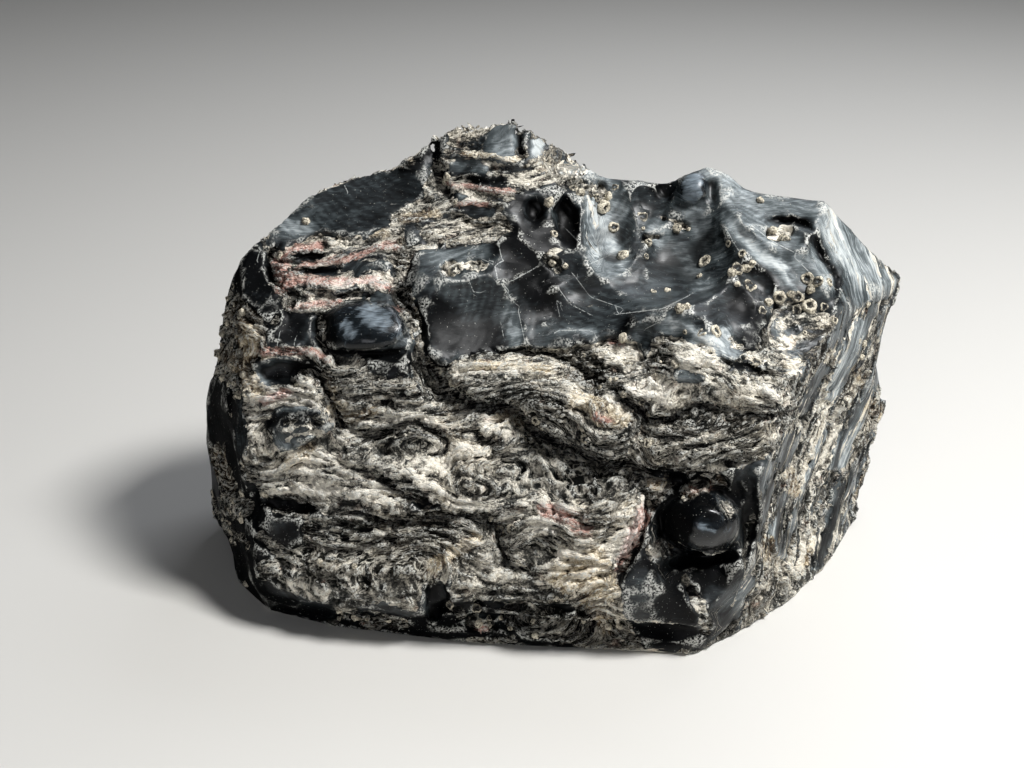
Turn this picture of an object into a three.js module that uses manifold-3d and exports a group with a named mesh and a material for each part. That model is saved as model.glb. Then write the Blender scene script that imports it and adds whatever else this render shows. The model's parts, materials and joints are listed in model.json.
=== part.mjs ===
// A broken chunk of flow-banded obsidian, as one solid that rests on a flat break.
//
// Frame: millimetres, +Z up, +X along the long side, -Y towards the banded front face. The origin is at the
// middle of the base. The lump is a few convex blocks joined together, with the hollow scars that flakes left.
import * as THREE from "three";
import { ConvexGeometry } from "three/addons/geometries/ConvexGeometry.js";
import { mergeVertices } from "three/addons/utils/BufferGeometryUtils.js";
import Module from "manifold-3d";

const wasm = await Module();
wasm.setup();

// Driving dimensions: the chunk's own box.
const LENGTH = 260;
const HEIGHT = 161.5;

const FRONT_TOE = -62; // y of the foremost ground contact
const BACK_FOOT = 62; // y of the rear ground contact
const RECESS_RINGS = 20; // rings of a squashed sphere; it has twice as many segments
const SCAR_RINGS = 40; // rings of a scar's sphere, of which only a cap shows

const HALF = LENGTH / 2;

// The corners of each convex block, as [x, y, z].
const BODY = [
  // feet, clockwise from the left end
  [-HALF, 20, 7], [-114, -18, 0], [-100, -36, 0], [-76, -46, 0], [-26, -56, 0], [25, -60, 0], [46, FRONT_TOE, 0],
  [66, -46, 0], [92, -22, 0], [106, 2, 0], [120, 30, 0], [118, BACK_FOOT, 4], [40, 66, 0], [-50, 64, 0], [-108, 48, 0],
  // lip above the toe
  [-101, -46, 21], [-71, -58, 19], [-12, -65, 25], [22, -68, 22], [48, -66, 16],
  // left end
  [-127, 9, 44], [-126, 8, 61], [-111, 4, 99], [-109, 8, 115], [-98, 12, 124.5], [-105, -30, 68], [-101, -22, 99],
  [-122, 42, 50], [-102, 44, 104],
  // brow, where the front face meets the broken top
  [-72, -32, 96], [-42, -36, 95], [-1, -39, 98], [44, -44, 103], [75, -45, 109],
  // skyline
  [-84, 22, 134.5], [-74, 28, 137.5], [-54, 30, 141], [17, 22, 139.5], [67, 18, 136], [90, 8, 135.5], [107, 16, 118],
  // right end
  [125, 25, 101.5], [119, 30, 70], [124, 42, 36], [126, 44, 20], [64, -57, 74], [57, -65, 38],
  // back
  [-46, 54, 124], [24, 56, 119], [92, 48, 104], [112, 56, 62], [0, 68, 62], [84, 66, 46], [-84, 62, 60],
];
const WEST_SUMMIT = [
  [-34, 26, 157], [-14, 18, HEIGHT], [4, 20, 150], [17, 22, 140], [-40, 28, 152.5], [-53, 30, 144], [-60, 26, 138],
  [-50, 4, 118], [-22, -10, 116], [10, -2, 120], [-44, 46, 118], [4, 44, 116],
];
const CHIP = [
  [117, 40, 48], [112, 20, 40], [HALF, 40, 46], [HALF, 38, 40], [126, 40, 33], [112, 50, 28], [118, 24, 30],
];
const EAST_SUMMIT = [
  [52, 19, 144.5], [60, 18, 141], [68, 17, 135], [38, 20, 139],
  [34, -2, 118], [70, -6, 122], [44, 42, 112], [70, 38, 110],
];

// Scars that flakes left: where each is deepest, the way it faces, the radius of its bowl and its depth.
const SCARS = [
  { at: [-84, 4, 122], facing: [-0.25, -0.62, 0.75], radius: 90, depth: 3 }, // smooth glass on the left shoulder
  { at: [-8, -18, 112], facing: [-0.05, -0.8, 0.6], radius: 90, depth: 5 }, // broad face of the broken top
  { at: [30, 2, 126], facing: [0.05, -0.66, 0.74], radius: 42, depth: 6 }, // bowl under the saddle
  { at: [68, -24, 117], facing: [0.3, -0.72, 0.62], radius: 60, depth: 6 }, // bowl under the east summit
  { at: [106, -4, 108], facing: [0.76, -0.5, 0.4], radius: 80, depth: 4 }, // bevel of the right shoulder
  { at: [124, 28, 72], facing: [0.95, -0.3, -0.05], radius: 50, depth: 5 }, // waist of the right end
  { at: [92, -16, 54], facing: [0.78, -0.62, -0.06], radius: 190, depth: 3 }, // right face
  { at: [-16, 61, 100], facing: [0, 0.92, 0.4], radius: 110, depth: 6 }, // back, upper
  { at: [70, 62, 70], facing: [0.2, 0.96, 0.2], radius: 90, depth: 6 }, // back, right
  { at: [-104, 50, 80], facing: [-0.55, 0.8, 0.2], radius: 90, depth: 6 }, // back, left
  { at: [-120, -8, 52], facing: [-0.86, -0.5, 0.05], radius: 90, depth: 4 }, // left end
];

// Recesses under the front lip and around the boss, as squashed spheres: middle, radii and turn about Y.
const RECESSES = [
  { middle: [-22, -69, 10], radii: [80, 13, 7], turn: 0 },
  { middle: [42, -76, 45], radii: [17, 20, 27], turn: -0.3 },
];
const BOSS = { middle: [48, -56, 49], radii: [13, 12, 11.5], turn: 0 };

// A closed mesh's vertices and triangles as a solid.
function solidOf(geometry) {
  const bare = new THREE.BufferGeometry();
  bare.setAttribute("position", geometry.getAttribute("position"));
  if (geometry.index) bare.setIndex(geometry.index);
  const merged = mergeVertices(bare, 1e-3);
  return new wasm.Manifold(
    new wasm.Mesh({
      numProp: 3,
      vertProperties: merged.attributes.position.array,
      triVerts: new Uint32Array(merged.index.array),
    }),
  );
}

function geometryOf(solid) {
  const { numProp, vertProperties, triVerts } = solid.getMesh();
  const geometry = new THREE.BufferGeometry();
  const stride = new THREE.InterleavedBuffer(vertProperties, numProp);
  const points = new THREE.InterleavedBufferAttribute(stride, 3, 0);
  const positions = new Float32Array(points.count * 3);
  for (let i = 0; i < points.count; i++) {
    positions.set([points.getX(i), points.getY(i), points.getZ(i)], i * 3);
  }
  geometry.setAttribute("position", new THREE.BufferAttribute(positions, 3));
  geometry.setIndex(new THREE.BufferAttribute(triVerts, 1));
  return geometry;
}

const block = (corners) => solidOf(new ConvexGeometry(corners.map((c) => new THREE.Vector3(...c))));

function squashedSphere({ middle, radii, turn }, rings = RECESS_RINGS) {
  const geometry = new THREE.SphereGeometry(1, rings * 2, rings);
  geometry.scale(...radii);
  geometry.rotateY(turn);
  geometry.translate(...middle);
  return solidOf(geometry);
}

// The bowl's sphere stands off the surface, so that only its lowest cap bites.
function scarCutter({ at, facing, radius, depth }) {
  const out = new THREE.Vector3(...facing).normalize();
  const middle = new THREE.Vector3(...at).addScaledVector(out, radius - depth);
  return squashedSphere({ middle: middle.toArray(), radii: [radius, radius, radius], turn: 0 }, SCAR_RINGS);
}

function chunk() {
  let solid = block(BODY).add(block(WEST_SUMMIT)).add(block(EAST_SUMMIT));
  for (const scar of SCARS) solid = solid.subtract(scarCutter(scar));
  for (const recess of RECESSES) solid = solid.subtract(squashedSphere(recess));
  return solid.add(block(CHIP)).add(squashedSphere(BOSS));
}

const obsidian = new THREE.MeshStandardMaterial({ color: 0x2b2d2e, roughness: 0.35, metalness: 0 });

const stone = new THREE.Mesh(geometryOf(chunk()), obsidian);
stone.name = "obsidian_chunk";

const part = new THREE.Group();
part.add(stone);
export default part;
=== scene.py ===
import json
import math
from functools import partial

import bpy
import numpy as np
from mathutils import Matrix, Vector
from mathutils.kdtree import KDTree

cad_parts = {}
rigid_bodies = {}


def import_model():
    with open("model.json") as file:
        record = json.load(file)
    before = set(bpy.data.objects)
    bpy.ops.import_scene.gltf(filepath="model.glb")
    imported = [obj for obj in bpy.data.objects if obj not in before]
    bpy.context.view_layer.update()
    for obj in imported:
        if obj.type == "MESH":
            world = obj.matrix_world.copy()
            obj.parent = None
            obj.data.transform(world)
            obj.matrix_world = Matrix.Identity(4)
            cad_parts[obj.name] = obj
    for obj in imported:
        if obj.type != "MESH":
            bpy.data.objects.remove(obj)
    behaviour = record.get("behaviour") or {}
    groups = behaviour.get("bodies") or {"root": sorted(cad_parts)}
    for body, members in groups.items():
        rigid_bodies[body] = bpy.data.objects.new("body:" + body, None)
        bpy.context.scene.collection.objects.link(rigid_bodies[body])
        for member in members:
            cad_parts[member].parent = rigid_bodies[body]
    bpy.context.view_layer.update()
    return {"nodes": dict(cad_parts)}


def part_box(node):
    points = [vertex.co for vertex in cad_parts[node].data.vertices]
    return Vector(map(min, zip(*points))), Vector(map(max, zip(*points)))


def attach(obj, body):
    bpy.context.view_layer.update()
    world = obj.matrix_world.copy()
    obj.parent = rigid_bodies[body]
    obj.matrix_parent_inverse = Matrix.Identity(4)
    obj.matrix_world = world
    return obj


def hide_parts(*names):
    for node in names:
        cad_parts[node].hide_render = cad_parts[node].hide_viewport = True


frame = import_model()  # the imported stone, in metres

# A chunk of flow-banded obsidian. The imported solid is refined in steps: it is remeshed, the large scars,
# lobes and crevices are pressed into it, then the broken layers of the crust, and the chips and nodules are
# set on it last. Lengths on the stone are in millimetres, and turn to metres where a mesh is written.
#
# The side that shows its banding is worked on a chart: what a viewer sees who stands square to it. A place on
# the chart is (across, up), in mm from the point AIM, on the plane through AIM that faces EYE.

MM = 0.001
NODE = "obsidian_chunk"
LOW, HIGH = (np.array(corner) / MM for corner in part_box(NODE))
MIDDLE = (LOW + HIGH) / 2

ELEVATION = math.radians(25)
EYE_DISTANCE = 490.0
AIM = MIDDLE + (-15.0, -9.0, -5.75)
RIGHT = np.array([1.0, 0.0, 0.0])
UP = np.array([0.0, math.sin(ELEVATION), math.cos(ELEVATION)])
TOWARD = np.array([0.0, -math.cos(ELEVATION), math.sin(ELEVATION)])
EYE = AIM + EYE_DISTANCE * TOWARD

FIRST_VOXEL = 1.0  # carries the large forms
SECOND_VOXEL = 0.65  # carries the broken layers
MOST_TRIANGLES = 196000
FRONT_CARE = 1e-5  # keeps more triangles on the side that shows its banding
FRONT_NORMAL = np.array([0.0, -0.93, 0.37])
FRONT_UPHILL = np.array([0.0, 0.37, 0.93])


# ---------------------------------------------------------------- small tools for arrays

def smooth(x, low, high):
    """0 below low, 1 above high, and a smooth rise between them."""
    t = np.clip((x - low) / (high - low), 0, 1)
    return t * t * (3 - 2 * t)


def mix(a, b, share):
    return a + (b - a) * share


class Grain:
    """Seeded gradient noise, from about -1 to 1."""

    def __init__(self, seed):
        rng = np.random.default_rng(seed)
        self.order = np.concatenate([rng.permutation(256)] * 3)
        gradients = rng.normal(size=(256, 3))
        self.gradients = gradients / np.linalg.norm(gradients, axis=1)[:, None]

    def __call__(self, points):
        cell = np.floor(points).astype(np.int64)
        inside = points - cell
        ease = inside**3 * (inside * (inside * 6 - 15) + 10)
        cell &= 255
        total = np.zeros(len(points))
        for corner in np.ndindex(2, 2, 2):
            c = cell + corner
            key = self.order[self.order[self.order[c[:, 0]] + c[:, 1]] + c[:, 2]]
            dot = np.einsum("ij,ij->i", self.gradients[key], inside - corner)
            weight = np.prod(np.where(corner, ease, 1 - ease), axis=1)
            total += dot * weight
        return total * 1.6

    def octaves(self, points, count=4, gain=0.5):
        total, strength = np.zeros(len(points)), 1.0
        for octave in range(count):
            total += self(points * 2.0**octave + 17.3 * octave) * strength
            strength *= gain
        return total


class Shards:
    """Space split into irregular cells round jittered seeds, as broken rock is."""

    def __init__(self, seed):
        rng = np.random.default_rng(seed)
        self.order = np.concatenate([rng.permutation(256)] * 3)
        self.jitter = rng.uniform(0.12, 0.88, (256, 3))
        self.chance = rng.uniform(-1, 1, (256, 4))

    def __call__(self, points):
        """Each point's offset from its seed, and its cell's four random numbers from -1 to 1."""
        cell = np.floor(points).astype(np.int64)
        best = np.full(len(points), 1e9)
        offset = np.zeros_like(points)
        chance = np.zeros((len(points), 4))
        for corner in np.ndindex(3, 3, 3):
            c = cell + corner - 1
            key = self.order[self.order[self.order[c[:, 0] & 255] + (c[:, 1] & 255)] + (c[:, 2] & 255)]
            gap = points - c - self.jitter[key]
            distance = np.einsum("ij,ij->i", gap, gap)
            nearer = distance < best
            best[nearer] = distance[nearer]
            offset[nearer] = gap[nearer]
            chance[nearer] = self.chance[key[nearer]]
        return offset, chance


def chart(points):
    """Where points show on the chart, as (across, up)."""
    rays = points - EYE
    depth = -(rays @ TOWARD)
    return np.stack([rays @ RIGHT, rays @ UP], axis=1) * (EYE_DISTANCE / depth)[:, None]


def radius_in(places, at, size, turn=0.0):
    """Distance from the middle of an ellipse, as a share of its radius."""
    angle = math.radians(turn)
    across, up = (places - at).T
    along = across * math.cos(angle) + up * math.sin(angle)
    over = up * math.cos(angle) - across * math.sin(angle)
    return np.hypot(along / size[0], over / size[1])


def off_path(places, path):
    """Signed distance from a path, positive on its left, and the nearest point's share of its length."""
    best = np.full(len(places), 1e9)
    side = np.ones(len(places))
    along = np.zeros(len(places))
    points = np.array(path, float)
    lengths = np.linalg.norm(np.diff(points, axis=0), axis=1)
    done = 0.0
    for start, end, length in zip(points[:-1], points[1:], lengths):
        step = end - start
        t = np.clip(((places - start) @ step) / length**2, 0, 1)
        gap = places - start - t[:, None] * step
        distance = np.hypot(*gap.T)
        nearer = distance < best
        best = np.where(nearer, distance, best)
        turn = step[0] * (places[:, 1] - start[1]) - step[1] * (places[:, 0] - start[0])
        side = np.where(nearer, np.where(turn < 0, -1.0, 1.0), side)
        along = np.where(nearer, (done + t * length) / lengths.sum(), along)
        done += length
    return best * side, along


def inside_depth(places, outline):
    """Distance inside a closed outline, negative outside it."""
    across, up = places.T
    points = np.array(outline, float)
    within = np.zeros(len(places), bool)
    for (x0, y0), (x1, y1) in zip(points, np.roll(points, -1, axis=0)):
        crosses = (y0 > up) != (y1 > up)
        with np.errstate(divide="ignore", invalid="ignore"):
            at = (x1 - x0) * (up - y0) / (y1 - y0) + x0
        within ^= crosses & (across < at)
    distance, _ = off_path(places, list(points) + [points[0]])
    return np.where(within, 1, -1) * np.abs(distance)


# ---------------------------------------------------------------- meshes

class Skin:
    """A triangle mesh as arrays, in mm."""

    def __init__(self, mesh):
        mesh.calc_loop_triangles()
        self.points = np.empty(len(mesh.vertices) * 3)
        mesh.vertices.foreach_get("co", self.points)
        self.points = self.points.reshape(-1, 3) / MM
        faces = np.empty(len(mesh.loop_triangles) * 3, np.int64)
        mesh.loop_triangles.foreach_get("vertices", faces)
        self.faces = faces.reshape(-1, 3)
        sides = np.concatenate([self.faces[:, [0, 1]], self.faces[:, [1, 2]], self.faces[:, [2, 0]]])
        self.edges = np.unique(np.sort(sides, axis=1), axis=0)

    def normals(self):
        a, b, c = (self.points[self.faces[:, i]] for i in range(3))
        areas = np.cross(b - a, c - a)
        total = np.zeros_like(self.points)
        for axis in range(3):
            for corner in range(3):
                total[:, axis] += np.bincount(
                    self.faces[:, corner], areas[:, axis], minlength=len(self.points)
                )
        return total / (np.linalg.norm(total, axis=1)[:, None] + 1e-12)

    def blurred(self, values, times):
        """values, each averaged with its neighbours' a number of times."""
        a, b = self.edges.T
        count = np.bincount(a, minlength=len(values)) + np.bincount(b, minlength=len(values))
        columns = values.reshape(len(values), -1).copy()
        for _ in range(times):
            for i in range(columns.shape[1]):
                column = columns[:, i]
                total = np.bincount(a, column[b], minlength=len(values))
                total += np.bincount(b, column[a], minlength=len(values))
                columns[:, i] = (column + total) / (count + 1)
        return columns.reshape(values.shape)

    def along(self, heights, normals):
        """At each point, the direction that runs level over the skin where heights are given."""
        a, b = self.edges.T
        step = self.points[b] - self.points[a]
        climb = step * ((heights[b] - heights[a]) / np.einsum("ij,ij->i", step, step))[:, None]
        uphill = np.stack([
            sum(np.bincount(end, climb[:, i], minlength=len(heights)) for end in (a, b)) for i in range(3)
        ], axis=1)
        level = np.cross(normals, self.blurred(uphill, 2))
        return level / (np.linalg.norm(level, axis=1)[:, None] + 1e-12)

    def write(self, name):
        mesh = bpy.data.meshes.new(name)
        mesh.from_pydata((self.points * MM).tolist(), [], self.faces.tolist())
        return mesh


def evaluated(mesh, kind, groups=None, **settings):
    """The mesh after one modifier. groups are vertex groups, as (points, weight) by name."""
    worker = bpy.data.objects.new("worker", mesh)
    bpy.context.scene.collection.objects.link(worker)
    for name, shares in (groups or {}).items():
        group = worker.vertex_groups.new(name=name)
        for points, weight in shares:
            group.add(points.tolist(), weight, "REPLACE")
    modifier = worker.modifiers.new("work", kind)
    for key, value in settings.items():
        setattr(modifier, key, value)
    graph = bpy.context.evaluated_depsgraph_get()
    result = bpy.data.meshes.new_from_object(worker.evaluated_get(graph))
    bpy.data.objects.remove(worker)
    return result


def remeshed(mesh, voxel):
    return evaluated(mesh, "REMESH", mode="VOXEL", voxel_size=voxel * MM, adaptivity=0.0)


# ---------------------------------------------------------------- the forms on the chart
# Places are (across, up) in mm. A stroke is a path and its half width. A rise stands out of the stone.

# Glass scars: middle, half sizes, turn in degrees, depth. Their rims are sharp, as a flake leaves them.
BOWLS = [
    ((-55, 62), (30, 12), 10, 3.0),  # the smooth shoulder on the left
    ((-89, 38), (6, 10), 0, 2.0),
    ((-73, 18), (8, 7), 0, 3.0),  # the dark corner beside the lens
    ((-20, 43), (12, 8), 0, 2.0),
    ((-14, 22), (19, 13), 0, 0.8),  # the blue-black face in the middle
    ((-15, 74.5), (7, 3.4), 0, 1.4),
    ((-3, 85), (6, 7), 10, 1.0),
    ((8, 83), (2.6, 6.5), 0, 1.6),
    ((-11, 60), (7, 3), 0, 1.6),
    ((33, 56), (9.5, 15), 0, 5.0),  # the bright hollow
    ((33, 41), (10, 5), 20, 2.4),
    ((32, 28), (24, 9), 6, 3.6),  # the rippled scar under it
    ((61, 43), (15, 16), -20, 6.0),  # the large dark hollow
    ((48, 62), (7, 9), 0, 3.0),
    ((85, 60), (12, 5), -18, 2.0),
    ((92, 51), (9, 5), -10, 2.6),
    ((84, 47), (10, 4), -40, 2.0),
    ((98, 41), (10, 5), -40, 2.4),
    ((84, 35), (8, 5), -35, 2.4),
    ((108, 44), (5, 9), 25, 2.2),
    ((115, 50), (4, 9), 30, 1.6),
    ((121, 42), (4, 10), 35, 1.4),
    ((129, 37), (5, 6), 20, 1.6),
    ((72, 28), (12, 8), -20, 3.4),
    ((60, 18), (9, 6), -28, 3.6),  # the scoop above the crust
    ((74, 15), (7, 7), -40, 3.6),
    ((45, 14), (3.5, 8), 8, 2.4),
    ((-78, -20), (6, 3.4), 20, 1.2),
    ((68, -47), (5.5, 4), -25, 1.2),  # a scar on the ball
    ((72, -40), (3.5, 3), 30, 0.8),
    ((58, -76), (9, 9), 30, 2.6),
    ((71, -72), (7, 12), -20, 3.0),
]

# Rounded bodies that stand out: middle, half sizes, turn, rise. The first ones are smooth glass.
SMOOTH_DOMES = 3
DOMES = [
    ((-51, 20), (15.5, 9), 3, 6.5),  # the glassy lens
    ((62, 68), (5.4, 5.4), 0, 4.5),  # the dark knob
    ((65.5, -48), (13.5, 11.5), 0, 11.0),  # the glass ball
    ((-73, -14), (12.5, 6.5), 12, 3.0),
    ((-97, -42), (7, 4.5), 0, 3.5),
    ((-98, -29), (3.6, 7.5), 8, 3.0),
    ((-34, -19), (13, 4.6), -5, 1.6),
    ((-17, 40), (7, 3), 0, 1.8),
    ((10, -84), (12, 6), -8, 4.0),
    ((-9.5, -82.5), (3.8, 2.6), -20, 3.4),
    ((0, -11), (4, 3), 0, 2.0),
    ((90, -24), (3, 2), 0, 1.0),
    ((96, -33), (5, 4.5), 0, 2.0),
    ((117, -45), (3, 6), -30, 1.6),
]

# Sharp crests between scars and along layers: path, rise, reach.
RIDGES = [
    ([(24, 64), (23.4, 55), (24.4, 46), (27, 40)], 2.4, 5),
    ([(26, 40), (31, 37.5), (38, 38), (42, 43), (49, 50), (58, 56)], 2.0, 6),
    ([(15, 33), (21, 27), (32, 23.5), (44, 24), (56, 27), (66, 34), (72, 44), (74, 53)], 2.6, 7),
    ([(74, 64), (82, 54), (89, 47), (98, 42), (110, 33)], 2.6, 7),
    ([(74, 53), (79, 45), (86, 39), (92, 33)], 1.8, 5), ([(79, 59), (87, 54), (92, 50), (101, 46)], 1.6, 5),
    ([(103, 50), (106, 56), (107.5, 62)], 1.6, 4),
    ([(110, 60), (113, 55), (116, 47), (121, 40), (125, 34)], 1.4, 4),
    ([(79, 57), (84, 52), (91, 48), (99, 45)], 1.2, 3), ([(88, 43), (94, 38), (99, 31)], 1.2, 3),
    ([(0, 57), (3, 50), (9, 45), (14, 41)], 1.8, 5), ([(-2, 50), (6, 52), (12, 55)], 1.4, 4),
    ([(107.5, 62), (112, 52), (118, 42), (124, 32), (126, 20), (127, 6)], 2.2, 7),
    ([(117, 54), (121, 46), (127, 36)], 1.2, 4),
    ([(42, 21), (51, 22.5), (58, 21), (66, 14), (76, 8.5)], 2.2, 5),
    ([(67, 24), (67.5, 17), (72, 12)], 1.4, 4),
    ([(-24, 37), (-18, 36), (-8, 38), (-4, 44), (-4, 50)], 1.6, 5),
    ([(-30, 37), (-16, 35), (-3, 36)], 5.0, 22), ([(-5, 36), (0, 29), (4, 20), (5, 11)], 1.2, 5),
    ([(0, 36), (9, 40.5)], 1.0, 4), ([(-24, 76), (-16, 79), (-6, 78.5), (2.5, 77)], 1.8, 3),
    ([(-24, 69.5), (-12, 68), (1, 66)], 1.6, 2.6),
    ([(-38, 57), (-28, 58), (-20, 60), (-12, 62.5), (-2, 62)], 1.8, 3),
    ([(-30, 47), (-20, 50), (-8, 50)], 1.4, 3), ([(4.5, 88), (5.5, 79)], 1.0, 2),
    ([(-57, -16.5), (-48, -13.5), (-38, -12), (-30, -12), (-23, -15), (-20, -20)], 2.0, 3),
    ([(-86, 11), (-76, 11), (-68, 10)], 1.4, 2), ([(86, -40), (82, -52), (80, -62)], 1.6, 4),
    ([(98, -36), (94, -48), (90, -60)], 1.6, 4), ([(112, 26), (106, 10), (102, -2)], 1.8, 4),
]

# Plates of layered crust that stand over their surroundings: outline, rise, width of the stepped edge.
PLATES = [
    # the arched layer
    ([(-23, 4.5), (-18, 8), (-10, 9.5), (-3, 10.5), (6, 9.5), (15, 7.5), (22, 4), (26, 0), (28, -4),
      (24, -8), (22, -14), (22, -19), (20, -19.5), (12, -16), (8, -13), (4, -8), (0, -5.5), (-8, -5),
      (-15, -4), (-20, 0)], 6.5, 2.0),
    # the lobe on its right
    ([(24, -8), (28, -4), (33, -5), (38, -8), (44, -12), (42, -19), (38, -23.5), (33, -25), (27, -24),
      (23, -21), (24, -16), (22.5, -12)], 5.0, 2.2),
    # cream crust under the scoop
    ([(31, 4), (36, 0), (44, 5), (48, 3), (50, 10), (56, 15), (62, 14), (70, 10), (76, 6), (84, 3),
      (90, -2), (96, -4), (97, -9), (88, -8.5), (80, -8), (72, -6.5), (66, -6), (60, -8), (55, -10.5),
      (48, -9), (42, -5), (38, -2)], 5.5, 2.4),
    ([(27, 13), (34, 12), (39, 8), (40, 3), (36, 5), (30, 6)], 2.6, 1.5),
    # the dark streaked lobe
    ([(43, -26), (46, -20), (52, -14), (58, -11), (66, -9.5), (76, -11), (86, -10), (95, -14), (92, -19),
      (82, -20), (84, -24), (70, -27), (60, -29), (50, -28)], 4.0, 3.0),
    # banks of the crevice on the left
    ([(-94, 2), (-88, -1), (-76, 0), (-72, 5), (-66, 3), (-63, -6), (-59, -13), (-64, -11), (-70, -7),
      (-78, -8), (-86, -13), (-91, -18), (-93, -8)], 3.4, 2.2),
    ([(-68, 9), (-58, 8), (-48, 3), (-36, 2), (-30, -3), (-36, -4), (-44, -4), (-50, -8), (-56, -10),
      (-60, -5), (-64, 2)], 3.0, 2.2),
    ([(-88, -13), (-80, -20), (-72, -24), (-84, -26), (-87, -30), (-93, -25), (-92, -18)], 2.6, 2.0),
    # ledges of pink layers
    ([(-82, 44), (-72, 47), (-66, 48.5), (-64, 46), (-75, 42), (-77, 38), (-68, 42), (-60, 44.5), (-52, 46),
      (-46, 48.5), (-40, 48), (-42, 45), (-52, 42), (-62, 41.5), (-72, 37.5), (-77, 34), (-77, 31),
      (-82, 31)], 3.0, 1.0),
    ([(-77, 34), (-70, 37), (-62, 36.5), (-54, 37), (-46, 36.5), (-40, 34), (-41, 31.5), (-54, 32),
      (-60, 31), (-70, 31)], 2.6, 1.0),
    ([(-78, 26), (-70, 28), (-60, 30), (-58, 28), (-66, 25.5), (-76, 24.5)], 2.0, 0.8),
    # the middle of the front, above the long ledge
    ([(-64, -30), (-50, -24), (-30, -26), (-14, -24), (6, -32), (30, -36), (46, -38), (44, -46), (30, -52),
      (10, -50), (-2, -48), (-8, -44), (-24, -43.5), (-40, -45), (-60, -43)], 2.6, 3.0),
    ([(-48, -30), (-30, -25), (-22, -29), (-18, -36), (-26, -40), (-36, -37), (-44, -33)], 1.8, 1.5),
    ([(-2, -48), (10, -42), (30, -40), (44, -44), (42, -54), (36, -62), (36, -74), (20, -74), (8, -66),
      (0, -62)], 3.6, 3.0),
    ([(-88, -62), (-70, -58), (-44, -60), (-40, -50), (-28, -48), (-12, -49), (-6, -56), (-6, -68),
      (-20, -72), (-32, -68), (-34, -76), (-56, -76), (-72, -73)], 2.4, 2.0),
    # the tan wedge over the ball
    ([(58, -38), (62, -31), (70, -32), (74, -35), (68, -37), (62, -39)], 3.0, 1.5),
    # the pale lumps below the ball
    ([(46, -56), (50, -53), (55, -56), (54, -62), (47, -61)], 2.4, 1.0),
    ([(56, -70), (62, -66), (66, -72), (70, -84), (66, -86), (60, -76)], 2.4, 1.0),
]

# Crevices: path, half width, depth.
CREVICES = [
    ([(-28, 8), (-25, 2), (-20, -3), (-12, -6), (-2, -7), (4, -10), (8, -14.5), (15, -19), (23, -23),
      (32, -26.5), (40, -26), (47, -29.5), (58, -30.5), (66, -30)], 3.0, 9.5),
    ([(-6, 12), (4, 11.5), (12, 10.5), (19, 8.5), (25, 5), (29, 1), (30, -4)], 1.6, 4.5),
    ([(37, -2), (42, -7), (48, -11), (56, -11.5), (62, -8.5), (68, -7), (74, -11)], 1.7, 6.5),
    ([(74, -11), (82, -10), (92, -10)], 1.0, 2.4),
    ([(-70, 6), (-66, 1), (-62, -5), (-59, -10), (-57, -14), (-50, -15.5), (-42, -15)], 1.8, 6.5),
    ([(-42, -15), (-34, -13.8), (-27, -15), (-22, -20), (-23, -24)], 1.0, 3.0),
    ([(-46, -33), (-40, -36), (-33, -39), (-25, -41.5)], 1.5, 3.6),
    ([(-50, -48), (-40, -46), (-32, -45.5), (-18, -44), (-8, -45), (-4, -49), (-3, -56), (0, -62),
      (9, -65.5)], 1.6, 6.0),
    ([(-41, -49), (-41, -55), (-43, -60)], 1.2, 3.6), ([(-12, -17), (-9, -20), (-4, -21.5)], 1.5, 4.0),
    ([(-3, -26), (2, -26.5), (5, -29), (2, -33)], 0.9, 2.8),
    ([(-38, 34), (-36, 28), (-31, 23), (-29, 14)], 2.0, 4.5),
    ([(-62, 12), (-50, 10.5), (-38, 11.5)], 1.4, 4.5), ([(-66, 24), (-66.5, 18), (-64, 11)], 1.2, 4.0),
    ([(-78, 24), (-77, 30), (-82, 34), (-84, 42), (-82, 47)], 1.8, 4.5),
    ([(-76, 39), (-66, 39), (-60, 40)], 1.2, 3.0), ([(-76, 44.5), (-64, 45)], 1.2, 3.0),
    ([(-60, 30), (-52, 33)], 0.9, 2.0), ([(2.8, 88), (3.4, 84), (4.2, 78.5)], 1.3, 4.0),
    ([(-25, 86), (-26, 78), (-24, 70), (-20, 64)], 2.2, 4.5),
    ([(-20, 71), (-10, 70.3), (-1, 69.5)], 1.0, 2.6), ([(-20, 58.5), (-14, 56), (-6, 55)], 1.0, 2.4),
    ([(88, 56.5), (96, 57), (103, 54)], 1.2, 4.5), ([(104.5, 50), (108, 43), (112, 37), (112, 30)], 1.2, 4.5),
    ([(44, -34), (48, -40), (47, -48), (42, -58), (37, -68)], 1.6, 5.0),
    ([(75, 6), (82, 6), (88, 4), (91, -1)], 1.6, 4.0),
    ([(-20, -33), (-18, -38), (-10, -38.5), (0, -37.5)], 0.9, 2.4),
    ([(20, -45), (26, -48), (31, -48)], 1.4, 3.4), ([(-60, -52), (-48, -55), (-44, -58)], 1.0, 2.2),
    ([(30, -84), (25, -80), (23, -74)], 1.2, 3.6), ([(-92, 24), (-96, 20), (-97, 12)], 1.0, 2.4),
    ([(-98, 8), (-92, 4), (-90, -2)], 1.0, 2.4),
]

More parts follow.
